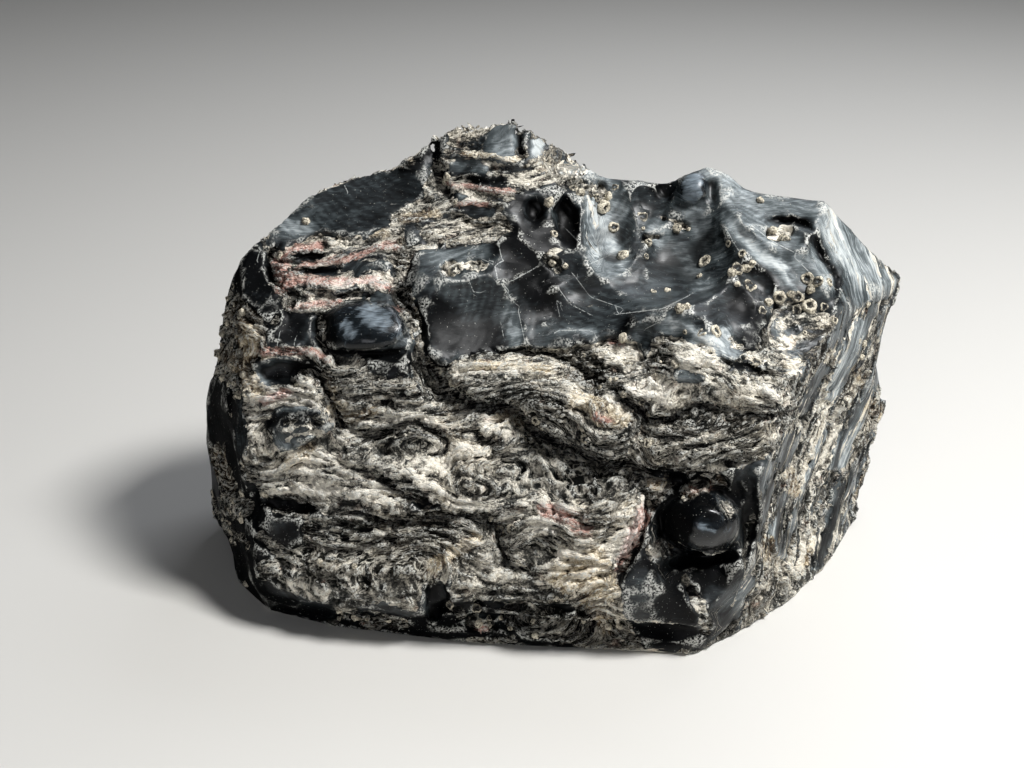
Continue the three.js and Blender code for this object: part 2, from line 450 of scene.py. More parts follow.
# Pockets: middle, half sizes, turn, depth.
POCKETS = [
    ((66, -47), (18.5, 16), -8, 8.0),  # round the glass ball
    ((-27, 2), (6, 6), 20, 5.0),
    ((-79, 4), (10, 4), -6, 5.5),
    ((-42, -6), (2.2, 2.8), -25, 3.6),
    ((-77, -42), (10, 3), -8, 7.0),
    ((-30, -41.5), (4.5, 1.8), -8, 3.6),
    ((8, 60), (3.4, 5), -20, 5.0),
    ((19, 56), (4.2, 9), 8, 6.0),
    ((-26, -74), (5, 7.5), 0, 8.0),
    ((-2, -77), (24, 3), 0, 7.5),
    ((-58, -82), (28, 5), -6, 4.5),
    ((48, -41), (3, 3.4), 0, 5.0),
    ((57, -33), (4, 3), 20, 5.0),
    ((61, 2), (4.4, 2.4), 0, 2.4),
    ((52, 7), (2, 2), 0, 1.6),
    ((80, -34), (5, 6), 0, 4.5),
    ((82, -48), (3, 13), -8, 6.0),
    ((65, -61), (13, 2.6), 8, 5.0),
    ((50, -50), (2.2, 8), -15, 4.0),
    ((-89, -40), (3.4, 10), 0, 5.0),
    ((-95, -12), (3, 12), 4, 3.0),
    ((53, 69), (3.4, 4.6), 0, 4.0),
    ((69, 66), (2.2, 5), 10, 3.0),
    ((-33, 9), (2.2, 5), 12, 3.0),
    ((80, -27), (8, 2), 6, 3.0),
    ((101, -13), (2.4, 1.6), 0, 1.6),
    ((103, -34), (2.4, 1.4), 20, 1.8),
    ((110, -2), (2.4, 1.0), 0, 1.6),
    ((-50, -42), (2, 1.4), 0, 1.0),
]

# Bare glass. What is left of the chart is crust.
GLASS_FIELDS = [
    # the shoulder
    [(-84, 52), (-80, 57), (-73, 63), (-67, 70), (-60, 73), (-40, 76), (-26, 90), (-20, 92), (-23, 80),
      (-28, 73), (-31, 64), (-40, 59), (-42, 54), (-50, 51.5), (-58, 50), (-66, 52), (-74, 49), (-80, 46),
      (-84, 48)],
    # the dark facet on the left, the corner beside the lens, and the lens
    [(-98, 48), (-90, 51), (-85, 48), (-83, 41), (-83, 32), (-79, 26), (-84, 21), (-92, 28), (-98, 34)],
    [(-79, 24.5), (-68, 24.5), (-66, 18), (-65, 12), (-72, 13), (-79, 12), (-84, 12), (-86, 17), (-81, 21)],
    [(-66, 23), (-62, 26), (-55, 29), (-47, 32.5), (-41, 32), (-40, 26), (-36, 20), (-34, 15), (-36, 9),
      (-34, 3), (-42, 2), (-49, 4), (-51, 8), (-58, 10), (-64, 12)],
    # the middle and the right of the top
    [(-37, 36), (-34, 46), (-22, 47), (-12, 48), (-4, 50), (0, 54), (-4, 60), (2, 65), (14, 69), (22, 68),
      (26, 74), (44, 78), (58, 80), (72, 82), (90, 72), (110, 70), (124, 56), (140, 40), (130, 30),
      (112, 23), (100, 27), (91, 27), (88, 20), (86, 15), (84, 11), (76, 8), (70, 10), (62, 14), (56, 16),
      (49, 16), (46, 7), (43, 14), (36, 16), (29, 14), (14, 12), (2, 11.5), (-14, 10.5), (-24, 5),
      (-30, 10), (-31, 20), (-32, 28)],
    # the windows under the peak
    [(-22, 77), (-14, 78), (-8, 76), (-9, 72.5), (-14, 72), (-21, 72)],
    [(-21, 66), (-15, 66), (-13, 63), (-17, 63), (-19, 64)],
    [(-16, 60), (-11, 62), (-6, 61), (-6, 57.5), (-13, 57), (-16, 58)],
    [(-9, 80), (2, 78.5), (3, 90), (0, 94), (-6, 88), (-10, 84)],
    [(5.5, 80), (8, 77.5), (12, 80), (9, 88), (6, 90)], [(-14, 71.5), (-2, 71), (0, 68), (-12, 69)],
    [(-38, 54), (-33, 55), (-30, 49), (-37, 47)],
    # black pockets at the left edge and the foot
    [(-90, 6), (-87, 9), (-76, 9), (-68, 7), (-65, 3), (-70, 5), (-74, 4), (-77, 0), (-86, 0)],
    [(-112, 4), (-100, 2), (-93, -6), (-91, -20), (-93, -30), (-87, -36), (-86, -39), (-74, -40),
      (-68, -42), (-65, -46), (-72, -48), (-72, -56), (-80, -58), (-88, -62), (-88, -66), (-74, -74),
      (-58, -77), (-46, -76), (-33, -78), (-31, -69), (-22, -68), (-20, -74), (0, -74), (20, -75.5),
      (24, -80), (24, -98), (-112, -98)],
    # round and under the ball
    [(37, -70), (40, -60), (46, -50), (50, -42), (55, -35), (60, -31), (74, -30), (82, -27), (90, -24),
      (89, -32), (84, -44), (80, -52), (80, -62), (84, -68), (78, -80), (66, -92), (46, -92), (38, -80)],
    [(46, -28), (60, -30), (66, -30), (66, -33), (56, -34), (48, -31)],
    # the eye in the crust on the left
    [(-86, -13), (-82, -9), (-74, -7), (-67, -8.5), (-61, -13.5), (-67, -19), (-74, -23), (-80, -23),
      (-84, -18)],
]
# Layers of glass that crop out on the right side, and thin ones elsewhere, as strokes.
GLASS_LAYERS = [
    ([(117, 28), (110, 13)], 2.0), ([(107, 6), (103, -2), (100, -10)], 1.5), ([(97, -18), (93, -28)], 2.2),
    ([(90, -35), (85, -47), (81, -64)], 1.6), ([(125, 26), (116, 10), (110, -4)], 2.2),
    ([(130, 26), (127, 8), (122, -4), (116, -18), (112, -28)], 2.4),
    ([(125, -18), (119, -28), (114, -38), (110, -50), (105, -62)], 2.0),
    ([(108, -14), (104, -28), (98, -42), (94, -56)], 1.0), ([(94, -38), (91, -50), (93, -60)], 1.8),
    ([(118, -22), (111, -38), (106, -52)], 0.6), ([(57, 3), (65, 2)], 2.0), ([(76, 5.5), (86, 6)], 1.5),
    ([(-74, 39), (-62, 39.5)], 1.2), ([(-76, 44.5), (-65, 45)], 1.1), ([(-58, 41), (-44, 40)], 1.6),
    ([(-62, 31.5), (-54, 33)], 0.9), ([(-34, -42.5), (-26, -42)], 1.3),
    ([(-24, 48), (-34, 36), (-32, 26)], 1.2),
]
# Crust that stands in the glass, as strokes.
CRUST_LUMPS = [
    ([(-22, 39), (-16, 41.5), (-11, 41)], 2.0), ([(-66, 22), (-65, 16)], 1.6),
    ([(-102, -24), (-98, -35)], 3.0), ([(-100, -42), (-93, -42)], 4.0), ([(-100, -48), (-92, -54)], 1.6),
    ([(-87, -52), (-80, -57)], 1.6), ([(-82, -44), (-70, -46)], 0.8), ([(-62, -83), (-56, -78)], 1.8),
    ([(-50, -82), (-38, -82)], 2.6), ([(-22, -76), (-18, -80)], 1.4), ([(-12, -78), (-12, -74)], 1.4),
    ([(-13, -82), (-7, -83)], 2.4), ([(2, -80), (12, -83), (22, -85)], 5.4), ([(-14, -89), (0, -88)], 1.4),
    ([(26, -74), (27, -82), (33, -84), (35, -78)], 3.0), ([(60, -38), (66, -33), (72, -34)], 2.4),
    ([(48, -58), (53, -57)], 2.8), ([(60, -68), (64, -76), (67, -85)], 1.8), ([(90, 52), (94, 53)], 2.2),
    ([(13, 43), (15, 40)], 1.8), ([(73, -42), (75, -45)], 1.6), ([(46, 50), (50, 50)], 0.8),
    ([(52, 57), (60, 54)], 0.9), ([(-50, 30), (-48, 27)], 0.6), ([(20, 69), (30, 67), (31, 61)], 2.0),
    ([(37, 16), (35, 14)], 1.0), ([(-80, -17), (-72, -14.5), (-64, -13)], 0.5),
    ([(-77, -19.5), (-70, -17), (-65, -16)], 0.4), ([(-79, -13.5), (-72, -11.5), (-67, -11)], 0.2),
    ([(76, 15), (80, 12)], 0.9), ([(92, 28), (104, 26)], 1.6),
]

# Where thin layers of crust and glass alternate.
BANDED_FIELDS = [
    [(-30, 60), (-28, 76), (-22, 90), (0, 98), (14, 92), (30, 76), (24, 68), (14, 70), (4, 66), (-2, 60),
      (-4, 50), (-20, 50), (-40, 54), (-40, 58)],
    [(-82, 47), (-60, 49), (-42, 48), (-38, 38), (-40, 32), (-60, 31), (-78, 33)],
    [(-50, -21), (-44, -16.5), (-34, -14), (-26, -16), (-22, -20), (-28, -23), (-40, -24.5)],
    [(108, 30), (126, 34), (128, 10), (120, 2), (112, 6), (106, 16)],
    [(86, 26), (96, 28), (111, 26), (107, 10), (102, -1), (92, 1), (87, 8), (85, 16)],
]

# Stained layers, as strokes.
PINK = [
    ([(-79, 43), (-79.5, 33)], 3.4), ([(-82, 42), (-75, 46), (-66, 48)], 1.8),
    ([(-77, 37), (-70, 41), (-62, 43), (-54, 43.5), (-47, 47), (-40, 48)], 1.7),
    ([(-77, 34), (-70, 36.5), (-62, 35.5), (-54, 36), (-47, 35.5), (-41, 33)], 1.7),
    ([(-77, 26), (-68, 27), (-60, 29)], 1.5), ([(-86, 11), (-76, 11), (-68, 11), (-64, 8)], 1.5),
    ([(-23, 69.5), (-12, 68), (0, 66)], 1.1), ([(-19, 61.5), (-8, 62.5)], 0.9), ([(34, 14.5), (38, 14)], 1.4),
    ([(38, -64), (41, -54), (46, -44)], 3.4), ([(12, -44), (20, -47), (26, -50)], 3.2),
    ([(-86, -6), (-78, -3)], 2.2), ([(60, -37), (68, -35)], 1.8), ([(29, -11), (34, -12)], 1.5),
    ([(-44, 27), (-38, 25)], 1.4), ([(-12, -84), (-8, -84)], 1.6), ([(10, -42), (16, -43)], 2.0),
]
TAN = [
    ([(-95, 22), (-91, 17), (-89, 12)], 6.5), ([(-100, 10), (-92, 4), (-88, -4)], 3.4),
    ([(-62, -8), (-55, -12), (-47, -9)], 2.4), ([(-28, -63), (-20, -58), (-13, -54)], 3.6),
    ([(18, -66), (28, -62), (33, -70)], 7.0), ([(-4, -11), (3, -12)], 4.0),
    ([(-12, 6), (0, 7), (12, 4.5)], 1.8), ([(22, -6), (30, -9), (38, -12)], 5.0),
    ([(123, -8), (128, -12)], 4.0), ([(129, -14), (123, -28), (118, -40)], 1.2),
    ([(60, -38), (72, -34)], 2.8), ([(95, -31), (98, -37)], 3.0), ([(90, -52), (88, -60)], 3.0),
    ([(26, -74), (33, -84)], 4.0), ([(-41, 75), (-34, 79)], 2.6), ([(-102, -24), (-98, -36)], 4.0),
    ([(48, -35), (58, -32)], 2.6), ([(-17, 79.5), (-8, 79), (2, 77.5)], 1.3), ([(-94, 25), (-86, 24)], 2.0),
    ([(-54, 52), (-44, 52)], 2.2), ([(-64, 3), (-60, -8), (-57, -13)], 2.0), ([(-76, -26), (-70, -22)], 3.0),
    ([(118, 6), (120, 0)], 2.0), ([(103, -56), (101, -62)], 2.0), ([(-26, 59), (-38, 57)], 2.0),
]

# Paler stretches, as strokes: frosted glass or clean crust, and painted highlights and reflections where the
# top glass and the lens catch the light, and painted light on shaded walls of the large dark hollow.
PALE = [
    ([(112, 2), (107, -12), (103, -24), (98, -36)], 3.4),
    ([(112, -16), (107, -32), (102, -48), (98, -64)], 3.6), ([(119, -14), (114, -28)], 2.6),
    ([(122, -26), (117, -38), (112, -54)], 1.8), ([(90, -46), (86, -62)], 3.0),
    # From here to the peak's facets, many strokes are painted highlights and reflections on the top glass,
    # and painted light on the walls of the large dark hollow.
    ([(31, 66), (32, 54), (31, 44), (36, 40)], 8.0), ([(38.5, 66), (38.5, 58)], 2.4),
    ([(76, 66), (84, 57), (94, 47), (106, 36)], 7.0), ([(68, 73), (76, 69)], 4.0),
    ([(86, 62), (104, 60)], 4.0), ([(110, 58), (116, 46), (126, 36)], 8.0),
    ([(52, 20), (60, 17), (68, 11)], 4.6), ([(72, 17), (76, 11)], 4.6), ([(45, 20), (45, 8)], 3.0),
    ([(62, 70), (62, 66)], 5.0), ([(-2, 92), (-3, 80)], 6.0), ([(50, 52), (58, 44), (66, 34)], 5.0),
    ([(63, 58), (70, 46)], 5.0), ([(75, 56), (86, 45), (99, 34)], 4.6), ([(8, 88), (8.5, 79)], 2.4),
    ([(-20, 75), (-10, 75)], 2.8), ([(-20, 65), (-14, 64)], 1.8), ([(-29, 45), (-22, 42), (-12, 45)], 4.5),
    ([(-78, 55), (-70, 54)], 3.4), ([(-61, 49), (-56, 47)], 2.4), ([(-1, 24), (0, 14)], 4.0),
    ([(16, 18.4), (28, 18.4)], 0.9), ([(-81, -20), (-75, -22)], 3.0), ([(18, 74), (26, 76)], 4.0),
    ([(120, 20), (114, 6)], 4.0), ([(-90, 0), (-80, -5), (-66, -4), (-60, -9)], 6.0),
    ([(-69, -17.5), (-63, -16.5)], 2.6), ([(-91, -8), (-91, -20), (-90, -27)], 5.0),
    ([(-84, -30), (-70, -27), (-58, -20), (-48, -14)], 4.0), ([(-96, 8), (-91, 2), (-86, -2)], 4.0),
    ([(-82, -37), (-66, -36), (-54, -38)], 2.6), ([(-45, -12.6), (-34, -11.6), (-25, -13)], 1.8),
    ([(-36, -30), (-24, -28)], 4.0), ([(-49, -37), (-43, -39)], 4.4), ([(-9, -16), (2, -17)], 3.2),
    ([(-22, -21), (-10, -24)], 3.6), ([(-30, -35), (-14, -42)], 3.4), ([(4, -42), (10, -49)], 4.6),
    ([(20, -60), (32, -66), (26, -57)], 7.0), ([(12, -68), (26, -67), (36, -57), (43, -47)], 5.4),
    ([(-28, -63), (-20, -58), (-12, -54)], 2.6), ([(42, 2), (50, -3), (58, -5), (64, 9)], 6.0),
    ([(92, 20), (98, 6)], 4.0), ([(80, -3), (94, -5)], 3.4), ([(82, -18.5), (92, -17)], 2.0),
    ([(-20, 4), (-8, 6.5), (6, 5.5), (16, 3), (24, -4)], 2.4), ([(30, 12), (38, 10)], 4.0),
    # The first stroke below is the lens's painted highlight.
    ([(-49, 24.5), (-45, 21.5)], 5.0), ([(-92, 18), (-91, 12)], 6.0), ([(-58, 20), (-55, 17)], 3.0),
    ([(49, -58), (53, -57)], 4.0), ([(36, -44), (44, -40)], 3.6), ([(60, -68), (66, -84)], 2.6),
    ([(65, -49), (69, -51)], 1.8), ([(69, -37), (74, -42)], 2.4), ([(-10, -82), (-8, -83)], 4.0),
]
# The whitest bloom on the glass, laid mostly as painted highlights where the top facets catch the light.
FROST_AND_HIGHLIGHTS = [
    ([(56, 22), (62, 17), (70, 12)], 4.0), ([(34, 52), (38, 43)], 4.0), ([(77, 55), (86, 45), (97, 36)], 2.4),
    ([(22, 73), (30, 75)], 3.0), ([(8.4, 88), (8.6, 80)], 2.0),
]
# Darker stretches: clear black glass, and painted shade: shadows under ledges and blades, in pockets, over
# the shaded left end and foot, and on glass faces whose reflections are dimmed.
DARK = [
    ([(-78, -56), (-56, -60), (-28, -58)], 8.0), ([(4, -6), (12, -10), (18, -14)], 5.0),
    ([(-108, 4), (-101, -8), (-97, -30), (-95, -56), (-90, -70)], 14.0),
    ([(-90, -80), (-60, -86), (-30, -88), (20, -96)], 12.0),
    ([(-28, -70), (-24, -78), (0, -77), (20, -78)], 5.0),
    ([(52, -60), (54, -46), (62, -38), (78, -38), (82, -60), (60, -66), (54, -84), (70, -84)], 10.0),
    ([(-84, -43), (-70, -44)], 6.0), ([(-86, -56), (-80, -62)], 6.0),
    ([(45, -24), (54, -16), (66, -12), (78, -14)], 6.0), ([(50, -28), (64, -24), (84, -22)], 5.4),
    ([(-19, -1), (-8, -2), (4, -3.5), (12, -8), (17, -15)], 5.6), ([(-62, 4), (-50, -1), (-38, 0)], 5.0),
    ([(-70, -50), (-54, -52), (-44, -57)], 7.0), ([(-38, -50), (-10, -50)], 4.6),
    ([(-84, -63), (-62, -66), (-48, -69)], 4.6), ([(2, -18), (14, -22)], 4.0), ([(10, -32), (32, -34)], 4.6),
    ([(22, -28), (42, -31)], 3.6), ([(27, -19), (37, -20)], 4.2), ([(-36, 44), (-38, 32), (-34, 22)], 4.4),
    ([(-74, 38.5), (-64, 39.5)], 1.8), ([(-76, 44.5), (-64, 45.5)], 1.6), ([(-20, 70.5), (-2, 70)], 1.6),
    ([(2, 63), (9, 56)], 5.0), ([(17, 66), (20, 50)], 5.0), ([(51, 67), (54, 74)], 5.0),
    ([(84, 14), (85, 22), (78, 28)], 6.0), ([(81, 41), (87, 38), (92, 33)], 2.4),
    ([(96, 38), (99, 34), (102, 30)], 1.8), ([(104, 50), (108, 43), (112, 37), (113, 28)], 2.0),
    ([(10, 52), (4, 40), (10, 32)], 9.0), ([(-28, 26), (-22, 16), (-8, 14)], 8.0), ([(0, 48), (8, 46)], 8.0),
    ([(-80, 2), (-68, 5)], 5.0), ([(-30, 4), (-24, -2)], 5.0), ([(-90, 42), (-86, 28), (-78, 18)], 8.0),
    ([(-46, 8), (-38, 6)], 6.0), ([(-36, 76), (-28, 82)], 5.0), ([(-44, -20), (-28, -18)], 5.0),
    ([(104, 2), (99, -13), (94, -25), (88, -38), (83, -52)], 1.2),
    ([(124, -20), (114, -38), (105, -62)], 2.4), ([(-84, -12), (-68, -11)], 3.6),
    ([(92, -44), (94, -56)], 3.0), ([(0, -52), (14, -55)], 3.4), ([(24, 15), (22, 10)], 3.0),
]

# Hairline cracks in the glass, and flakes' edges that catch the light as painted highlights, as paths.
HAIRLINES = [
    [(0, 35.5), (8, 40)], [(-12, 31), (-7, 33)], [(-4, 35), (0.5, 28.5)], [(-10, 43), (-6, 41), (-5, 36.5)],
    [(-5, 50), (-3.5, 43), (0, 39)], [(17, 55), (23.5, 48.5)], [(8, 57), (10, 60), (8.5, 64)],
    [(16, 33), (20, 27.5), (27, 24)], [(21, 38), (27, 30), (37, 26.5)],
    [(14, 16), (15, 18.4), (28, 18.6), (29.5, 15)], [(-4.5, 24), (-2, 12)], [(2, 26), (5, 12)],
    [(46, 19), (51, 21.5)], [(63, 14.5), (70, 11.5), (76, 8.6)], [(66.5, 23), (67, 17)],
    [(-58.5, 70), (-56.5, 66)], [(-15, 36), (-12.5, 30)], [(15, 30), (16.5, 23)], [(-88, 42), (-87, 45.5)],
    [(-80, 17.5), (-81, 13)], [(26, 41), (34, 44.5), (38, 44)], [(74, 53), (78, 46), (84, 40)],
    [(82, 55), (90, 49), (100, 44)], [(107, 61), (112, 52), (117, 44)], [(-75, 14), (-74.5, 16)],
    [(96, 45), (103, 38)], [(36, 24), (52, 26), (62, 31)],
]

# Where the rings of each shell-like fracture centre: scar's middle, half sizes, turn, centre of the rings.
RINGS = [
    ((32, 28), (26, 12), 6, (44, 62)), ((61, 43), (17, 18), -20, (46, 82)), ((33, 56), (12, 16), 0, (22, 74)),
    ((-12, 24), (24, 18), 0, (-60, 40)), ((-55, 62), (32, 14), 10, (-30, 100)),
    ((72, 28), (14, 12), -20, (60, 60)),
]

# Folds of the layers on the chart: middle, half sizes, rise. A strong fold closes to an eye.
FOLDS = [
    ((0, -14), (26, 18), -15), ((-35, -19), (15, 6), -12), ((-74, -14), (13, 7), -11),
    ((-3, -29), (9, 4), -7), ((-48, 41), (8, 4), -7), ((30, -82), (6, 6), -9), ((-92, 16), (7, 7), -10),
    ((-13, -36), (5, 4), 6), ((8, -50), (12, 10), -10), ((-60, 4), (12, 9), 9), ((-30, -60), (24, 10), -10),
    ((61, 2), (14, 6), -7), ((32, -16), (9, 9), 9), ((-84, -27), (8, 6), 6), ((10, -84), (12, 6), 6),
    ((20, -38), (20, 8), 6), ((90, 12), (14, 12), 3),
]

# Round nodules that show: middle on the chart and radius.
NODULES = [
    (-72, 56.3, 1.5), (-20, 39.3, 2.2), (12, 63.6, 1.7), (15, 53, 1.4), (21.5, 68, 1.6), (24, 66, 1.6),
    (32.6, 65.2, 1.7), (31.8, 60.3, 2.4), (35, 69, 1.0), (35.2, 54.2, 1.9), (37.4, 44.4, 2.3), (46, 59, 1.8),
    (45, 55, 0.8), (47.5, 49.8, 1.3), (46, 44, 0.9), (57, 54.6, 1.8), (60.4, 53.4, 0.9), (66.4, 42.4, 2.4),
    (63.5, 37.4, 1.1), (78, 44.8, 1.3), (78.5, 40, 2.0), (81.4, 40.6, 1.6), (83.6, 42.4, 1.2),
    (74.5, 38.4, 1.7), (82.4, 34, 2.2), (78, 35.2, 1.0), (89.8, 40.4, 2.6), (101.8, 37, 2.1),
    (104.6, 36, 1.6), (102.6, 33.2, 1.6), (109.6, 35.4, 1.3), (89, 28.4, 1.5), (92.6, 29, 2.1),
    (86, 25.8, 1.3), (98.6, 28.6, 1.9), (102.6, 28.6, 2.3), (98.4, 25.6, 1.7), (103.2, 24.8, 1.6),
    (106.4, 27.6, 1.3), (95.4, 31.6, 1.4), (70.6, 19, 2.2), (65, 18.2, 1.5), (78, 13.6, 1.3), (84, 8.8, 1.5),
    (57, 26.8, 1.7), (60, 27.2, 1.2), (37.6, 16.4, 1.5), (48.4, 32.4, 1.0), (53.4, 32, 1.1),
    (86.4, 63.2, 1.3), (30, 64.4, 1.4), (28, 66.4, 1.2), (123, 27, 1.1), (122, 14, 1.3), (-99, -48, 0.9),
    (-91.5, -55.6, 1.2), (112, 22, 1.1), (121, 9, 1.0), (94, 51, 1.8), (91, 53.4, 1.4), (120, 15, 1.0),
    (-22, -76, 1.3), (-12, -78, 1.4), (16, -75, 0.9), (-67, -61, 1.0), (-54.6, -63.6, 0.9), (101, 18.4, 0.8),
    (14, 41, 1.3), (18, 41.6, 1.0),
]


# ---------------------------------------------------------------- shaping

wobble_grain, fold_grain, ledge_grain = Grain(3), Grain(11), Grain(19)
rough_grain, patch_grain = Grain(29), Grain(41)
splinters, scars = Shards(5), Shards(23)
TURNS = (0, 7, 13)  # shifts that give three unlike values from one grain
FRACTURE_START = (10, -130, 130)  # where the rings centre on the glass of the other sides


def warped(points, places):
    """Chart places shifted a little by grain in the stone, so that no rim is a plain curve."""
    shift = [
        1.1 * wobble_grain(points / 9 + turn) + 0.6 * wobble_grain(points / 3 + turn) for turn in (0, 40)
    ]
    return places + np.stack(shift, axis=1)


def around(places, marks, reach):
    """The places that lie within reach of the box round some marks."""
    marks = np.array(marks, float)
    inside = (places > marks.min(axis=0) - reach) & (places < marks.max(axis=0) + reach)
    return np.flatnonzero(inside.all(axis=1))


def chart_lift(places):
    """How far the forms on the chart stand out at each place."""
    lift = np.zeros(len(places))
    for outline, rise, edge in PLATES:
        near = around(places, outline, 1)
        depth = inside_depth(places[near], outline)
        steps = [smooth(depth, inset - 0.4, inset + 0.4) for inset in (0.0, 0.9 * edge, 2.2 * edge)]
        lift[near] += rise * (0.55 * steps[0] + 0.27 * steps[1] + 0.18 * steps[2])
    for at, size, turn, depth in BOWLS:
        near = around(places, [at], max(size))
        r = radius_in(places[near], at, size, turn)
        lift[near] -= depth * np.clip(1 - r**2, 0, 1) ** 0.8
    for at, size, turn, rise in DOMES:
        near = around(places, [at], max(size))
        r = radius_in(places[near], at, size, turn)
        lift[near] += rise * np.sqrt(np.clip(1 - r**2, 0, 1))
    for at, size, turn, depth in POCKETS:
        near = around(places, [at], 1.2 * max(size))
        r = radius_in(places[near], at, size, turn)
        lift[near] -= depth * smooth(1.15 - r, 0, 0.5)
    for path, rise, reach in RIDGES:
        near = around(places, path, reach)
        distance, _ = off_path(places[near], path)
        lift[near] += rise * np.clip(1 - np.abs(distance) / reach, 0, 1) ** 1.7
    for path, half_width, depth in CREVICES:
        near = around(places, path, 5 * half_width)
        distance, along = off_path(places[near], path)
        taper = np.sin(math.pi * np.clip(along, 0.02, 0.98)) ** 0.4
        # The bank above a crevice overhangs, so its wall is steeper than the lower one.
        reach = np.where(distance > 0, half_width * 0.4, half_width * 1.5)
        lift[near] -= 1.2 * depth * taper * np.exp(-((distance / reach) ** 2))
    return lift


def stroke_share(places, strokes):
    """1 on the middle line of the nearest stroke, and 0 at its edge and beyond."""
    share = np.zeros(len(places))
    for path, half_width in strokes:
        near = around(places, path, half_width)
        distance, _ = off_path(places[near], path)
        share[near] = np.maximum(share[near], 1 - np.abs(distance) / half_width)
    return share


def charted_glass(places, jitter):
    """Whether each place of the chart is bare glass: 1, or crust: 0. jitter, in mm, frays the borders."""
    margin = 4.0
    depth = np.full(len(places), -margin)
    for outline in GLASS_FIELDS:
        near = around(places, outline, margin)
        depth[near] = np.maximum(depth[near], inside_depth(places[near], outline))
    for path, half_width in GLASS_LAYERS:
        near = around(places, path, half_width + margin)
        depth[near] = np.maximum(depth[near], half_width - np.abs(off_path(places[near], path)[0]))
    for path, half_width in CRUST_LUMPS:
        near = around(places, path, half_width + margin)
        depth[near] = np.minimum(depth[near], np.abs(off_path(places[near], path)[0]) - half_width)
    glass = smooth(depth + jitter, -0.7, 0.7)
    for outline in BANDED_FIELDS:
        near = around(places, outline, 1)
        banded = 0.46 * smooth(inside_depth(places[near], outline), -1, 3)
        glass[near] = np.maximum(glass[near], banded)
    return glass


class Survey:
    """What the shaping and the finish both need to know about each point of a skin."""

    def __init__(self, skin, blur, low, high):
        self.points = skin.points
        broad = skin.blurred(skin.normals(), blur)
        length = np.linalg.norm(broad, axis=1)
        self.normals = broad / length[:, None]
        # 0 on thin edges and 1 on broad faces
        self.steady = smooth(length, 0.55, 0.9)
        self.to_eye = EYE - skin.points
        self.to_eye /= np.linalg.norm(self.to_eye, axis=1)[:, None]
        facing = np.einsum("ij,ij->i", self.normals, self.to_eye)
        self.seen = smooth(facing, low, high)
        # a steadier skyline
        self.steady *= 1 - 0.6 * np.exp(-((facing / 0.3) ** 2))
        self.front = np.flatnonzero(self.seen > 0)
        self.places = warped(skin.points, chart(skin.points))
        self.side = smooth(self.normals[:, 0], 0.35, 0.6)
        self.left = smooth(-self.normals[:, 0], 0.4, 0.65)
        self.layer = self.folded()
        self.across = skin.points @ FRONT_NORMAL
        self.glass = self.bare_glass()

    def on_chart(self, maker, *values):
        """The values that maker works out for the chart, and 0 on the sides that it doesn't reach."""
        result = np.zeros(len(self.points))
        result[self.front] = maker(self.places[self.front], *values)
        return result * self.seen

    def folded(self):
        """The height in the pile of layers: how far up the front, plus the folds."""
        layer = self.points @ FRONT_UPHILL
        layer += 9 * fold_grain(self.points / (60, 34, 34)) + 3.2 * fold_grain(self.points / (22, 11, 11) + 9)
        for at, size, rise in FOLDS:
            layer += self.seen * rise * np.exp(-(radius_in(self.places, at, size) ** 2))
        across, up = self.places.T
        # In the streaked lobe on the right, the layers dip to the right.
        lobe = smooth(across, 40, 50) * smooth(-up, 6, 13) * smooth(up, -34, -27)
        return layer - self.seen * lobe * 0.42 * (across - 66)

    def bare_glass(self):
        """1 on bare glass and 0 on crust: from the chart where it reaches, and elsewhere from grain."""
        jitter = 1.1 * rough_grain.octaves(self.points / 4.5, 2)
        field = patch_grain.octaves(self.points / (46, 40, 34), 3)
        elsewhere = smooth(field + 0.35 * self.normals[:, 2], -0.10, 0.05)
        glass = elsewhere.copy()
        glass[self.front] = charted_glass(self.places[self.front], jitter[self.front])
        return mix(np.maximum(elsewhere, 0.9 * self.left), glass, self.seen)

    def polished(self):
        """1 on the smooth glass bodies."""
        return self.glass * self.on_chart(lambda places: np.max([
            smooth(1.02 - radius_in(places, at, size, turn), 0, 0.1)
            for at, size, turn, _ in DOMES[:SMOOTH_DOMES]
        ], axis=0))


def ledges(height, grain_at, pitch):
    """A shingled profile over the layers, from 0 to 1: a slow rise, then a sharp fall."""
    phase = height / pitch + 0.9 * ledge_grain(grain_at)
    share = phase - np.floor(phase)
    return share * smooth(-share, -1.0, -0.82)


def flake_scars(points, size, depth):
    """Shallow hollows that meet in sharp ridges, as flakes leave them. size is about the width of one."""
    bent = points + 0.12 * size * np.stack([wobble_grain(points / size + turn) for turn in TURNS], axis=1)
    offset, chance = scars(bent / size)
    hollow = np.einsum("ij,ij->i", offset, offset)
    return depth * (2.2 * np.minimum(hollow, 0.6) - 0.8 + 0.5 * chance[:, 0])


def splinter_cells(points, pile, size):
    """Cells drawn out along the layers: size is (along, over the layers, into the stone)."""
    bent = np.stack([points[:, 0], pile, points[:, 1]], axis=1)
    bent += 0.9 * np.stack([rough_grain(points / 5 + turn) for turn in TURNS], axis=1)
    return splinters(bent / size)


def splinter_lift(points, pile, size, rise):
    """Blocks and splinters with flat, tilted tops and steep sides."""
    offset, chance = splinter_cells(points, pile, size)
    tilt = np.einsum("ij,ij->i", offset, chance[:, 1:4])
    return rise * (0.55 * chance[:, 0] + 0.8 * tilt + 0.5 * offset[:, 1])


